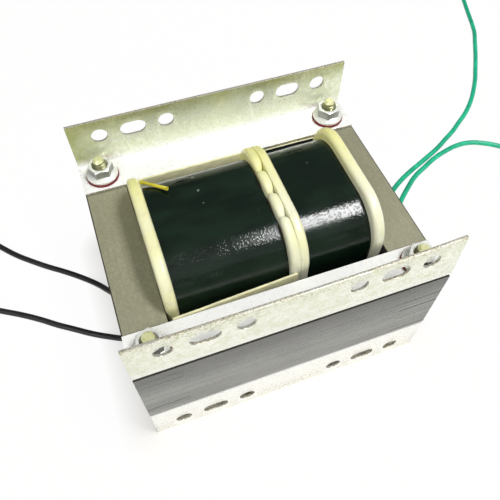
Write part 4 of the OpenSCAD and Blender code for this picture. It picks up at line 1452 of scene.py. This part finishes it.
def floor_finish():
    """White floor, white to the camera and in reflections, with the shadow kept near the transformer."""
    f = Finish("floor", Roughness=0.8)
    shadow_w, under_core, shaded, white = 14 * MM, 0.5 * MM, 0.45, 0.97
    paper = f.cloud(30, detail=3, low=0.2, high=0.8)
    f.link(f.blend(paper, colours().floor_low, colours().floor_high), "Base Color")
    away = f.place
    for how, other in (("ABSOLUTE", {}), ("SUBTRACT", {1: (CORE_HIGH.x, CORE_HIGH.y, 1)}), ("MAXIMUM", {})):
        away = f.put("ShaderNodeVectorMath", {0: away, **other}, operation=how).outputs[0]
    away = f.put("ShaderNodeVectorMath", {0: away}, operation="LENGTH").outputs["Value"]
    open_floor = f.times(f.reach(away, 0, shadow_w, shaded, white), f.maths("GREATER_THAN", away, under_core))
    path = f.put("ShaderNodeLightPath").outputs
    seen = f.most(f.most(path["Is Camera Ray"], path["Is Glossy Ray"]), path["Is Transmission Ray"])
    glow = f.put("ShaderNodeEmission", {"Color": (1, 1, 1, 1), "Strength": 1})
    both = f.put("ShaderNodeMixShader", {
        0: f.times(seen, open_floor), 1: f.shader.outputs[0], 2: glow.outputs[0]})
    f.tree.links.new(both.outputs[0], f.tree.nodes["Material Output"].inputs["Surface"])
    return f.material


def room_light(stage):
    """World that is brighter in front of the transformer than behind it."""
    world = bpy.data.worlds.new("room")
    world.use_nodes = True
    tree = world.node_tree
    sky = tree.nodes["Background"].inputs
    sky["Color"].default_value = (*colours().room, 1)
    place = tree.nodes.new("ShaderNodeTexCoord").outputs["Generated"]
    direction = put(tree, "ShaderNodeSeparateXYZ", {0: place})
    strength = put(tree, "ShaderNodeMapRange", {
        "Value": direction.outputs["Y"], "From Min": -1, "From Max": 1, "To Min": stage.room_front,
        "To Max": stage.room_rear})
    tree.links.new(strength.outputs[0], sky["Strength"])
    bpy.context.scene.world = world


class TRANSFORMER_OT_stage(bpy.types.Operator):
    """Floor, room light, lamps and the camera."""

    bl_idname = "transformer.stage"
    bl_label = "Stage"

    def execute(self, context):
        stage = bpy.context.scene.transformer_stage
        floor_cuts = 9
        floor = flat("floor", stage.floor_size, stage.floor_size, (0, 0, 0))
        with editing(floor):
            pick(floor, "FACE")
            bpy.ops.mesh.subdivide(number_cuts=floor_cuts)
        floor.data.materials.append(floor_finish())
        room_light(stage)
        lamp("key_lamp", stage.key_place, stage.key_size, stage.key)
        lamp("fill_lamp", stage.fill_place, stage.fill_size, stage.fill)
        bpy.ops.object.camera_add(location=stage.eye, rotation=stage.aim)
        camera = bpy.context.object
        camera.data.sensor_width = stage.sensor
        camera.data.lens = stage.lens
        camera.data.clip_start = 10 * MM
        bpy.context.scene.camera = camera
        bpy.context.scene.view_settings.view_transform = "Standard"
        return {"FINISHED"}


OPERATORS = (
    TRANSFORMER_OT_stage, TRANSFORMER_OT_leads, TRANSFORMER_OT_core, TRANSFORMER_OT_brackets,
    TRANSFORMER_OT_fasteners, TRANSFORMER_OT_bobbins, TRANSFORMER_OT_windings, TRANSFORMER_OT_liners,
)


class TRANSFORMER_PT_panel(bpy.types.Panel):
    """Lists the transformer's operators."""

    bl_label = "Transformer"
    bl_idname = "TRANSFORMER_PT_panel"
    bl_space_type = "VIEW_3D"
    bl_region_type = "UI"
    bl_category = "Transformer"

    def draw(self, context):
        for kind in OPERATORS:
            self.layout.operator(kind.bl_idname)


GROUPS = {
    "transformer_sizes": TransformerSizes,
    "transformer_colours": TransformerColours,
    "transformer_stage": TransformerStage,
}


def register():
    for kind in (*GROUPS.values(), *OPERATORS, TRANSFORMER_PT_panel):
        bpy.utils.register_class(kind)
    for name, kind in GROUPS.items():
        setattr(bpy.types.Scene, name, PointerProperty(type=kind))


def unregister():
    for name in GROUPS:
        delattr(bpy.types.Scene, name)
    for kind in (TRANSFORMER_PT_panel, *OPERATORS, *reversed(GROUPS.values())):
        bpy.utils.unregister_class(kind)


def main():
    register()
    cloud_effect()
    specks_effect()
    for kind in OPERATORS:
        group, name = kind.bl_idname.split(".")
        getattr(getattr(bpy.ops, group), name)()
    bpy.context.view_layer.update()


if __name__ == "__main__":
    main()
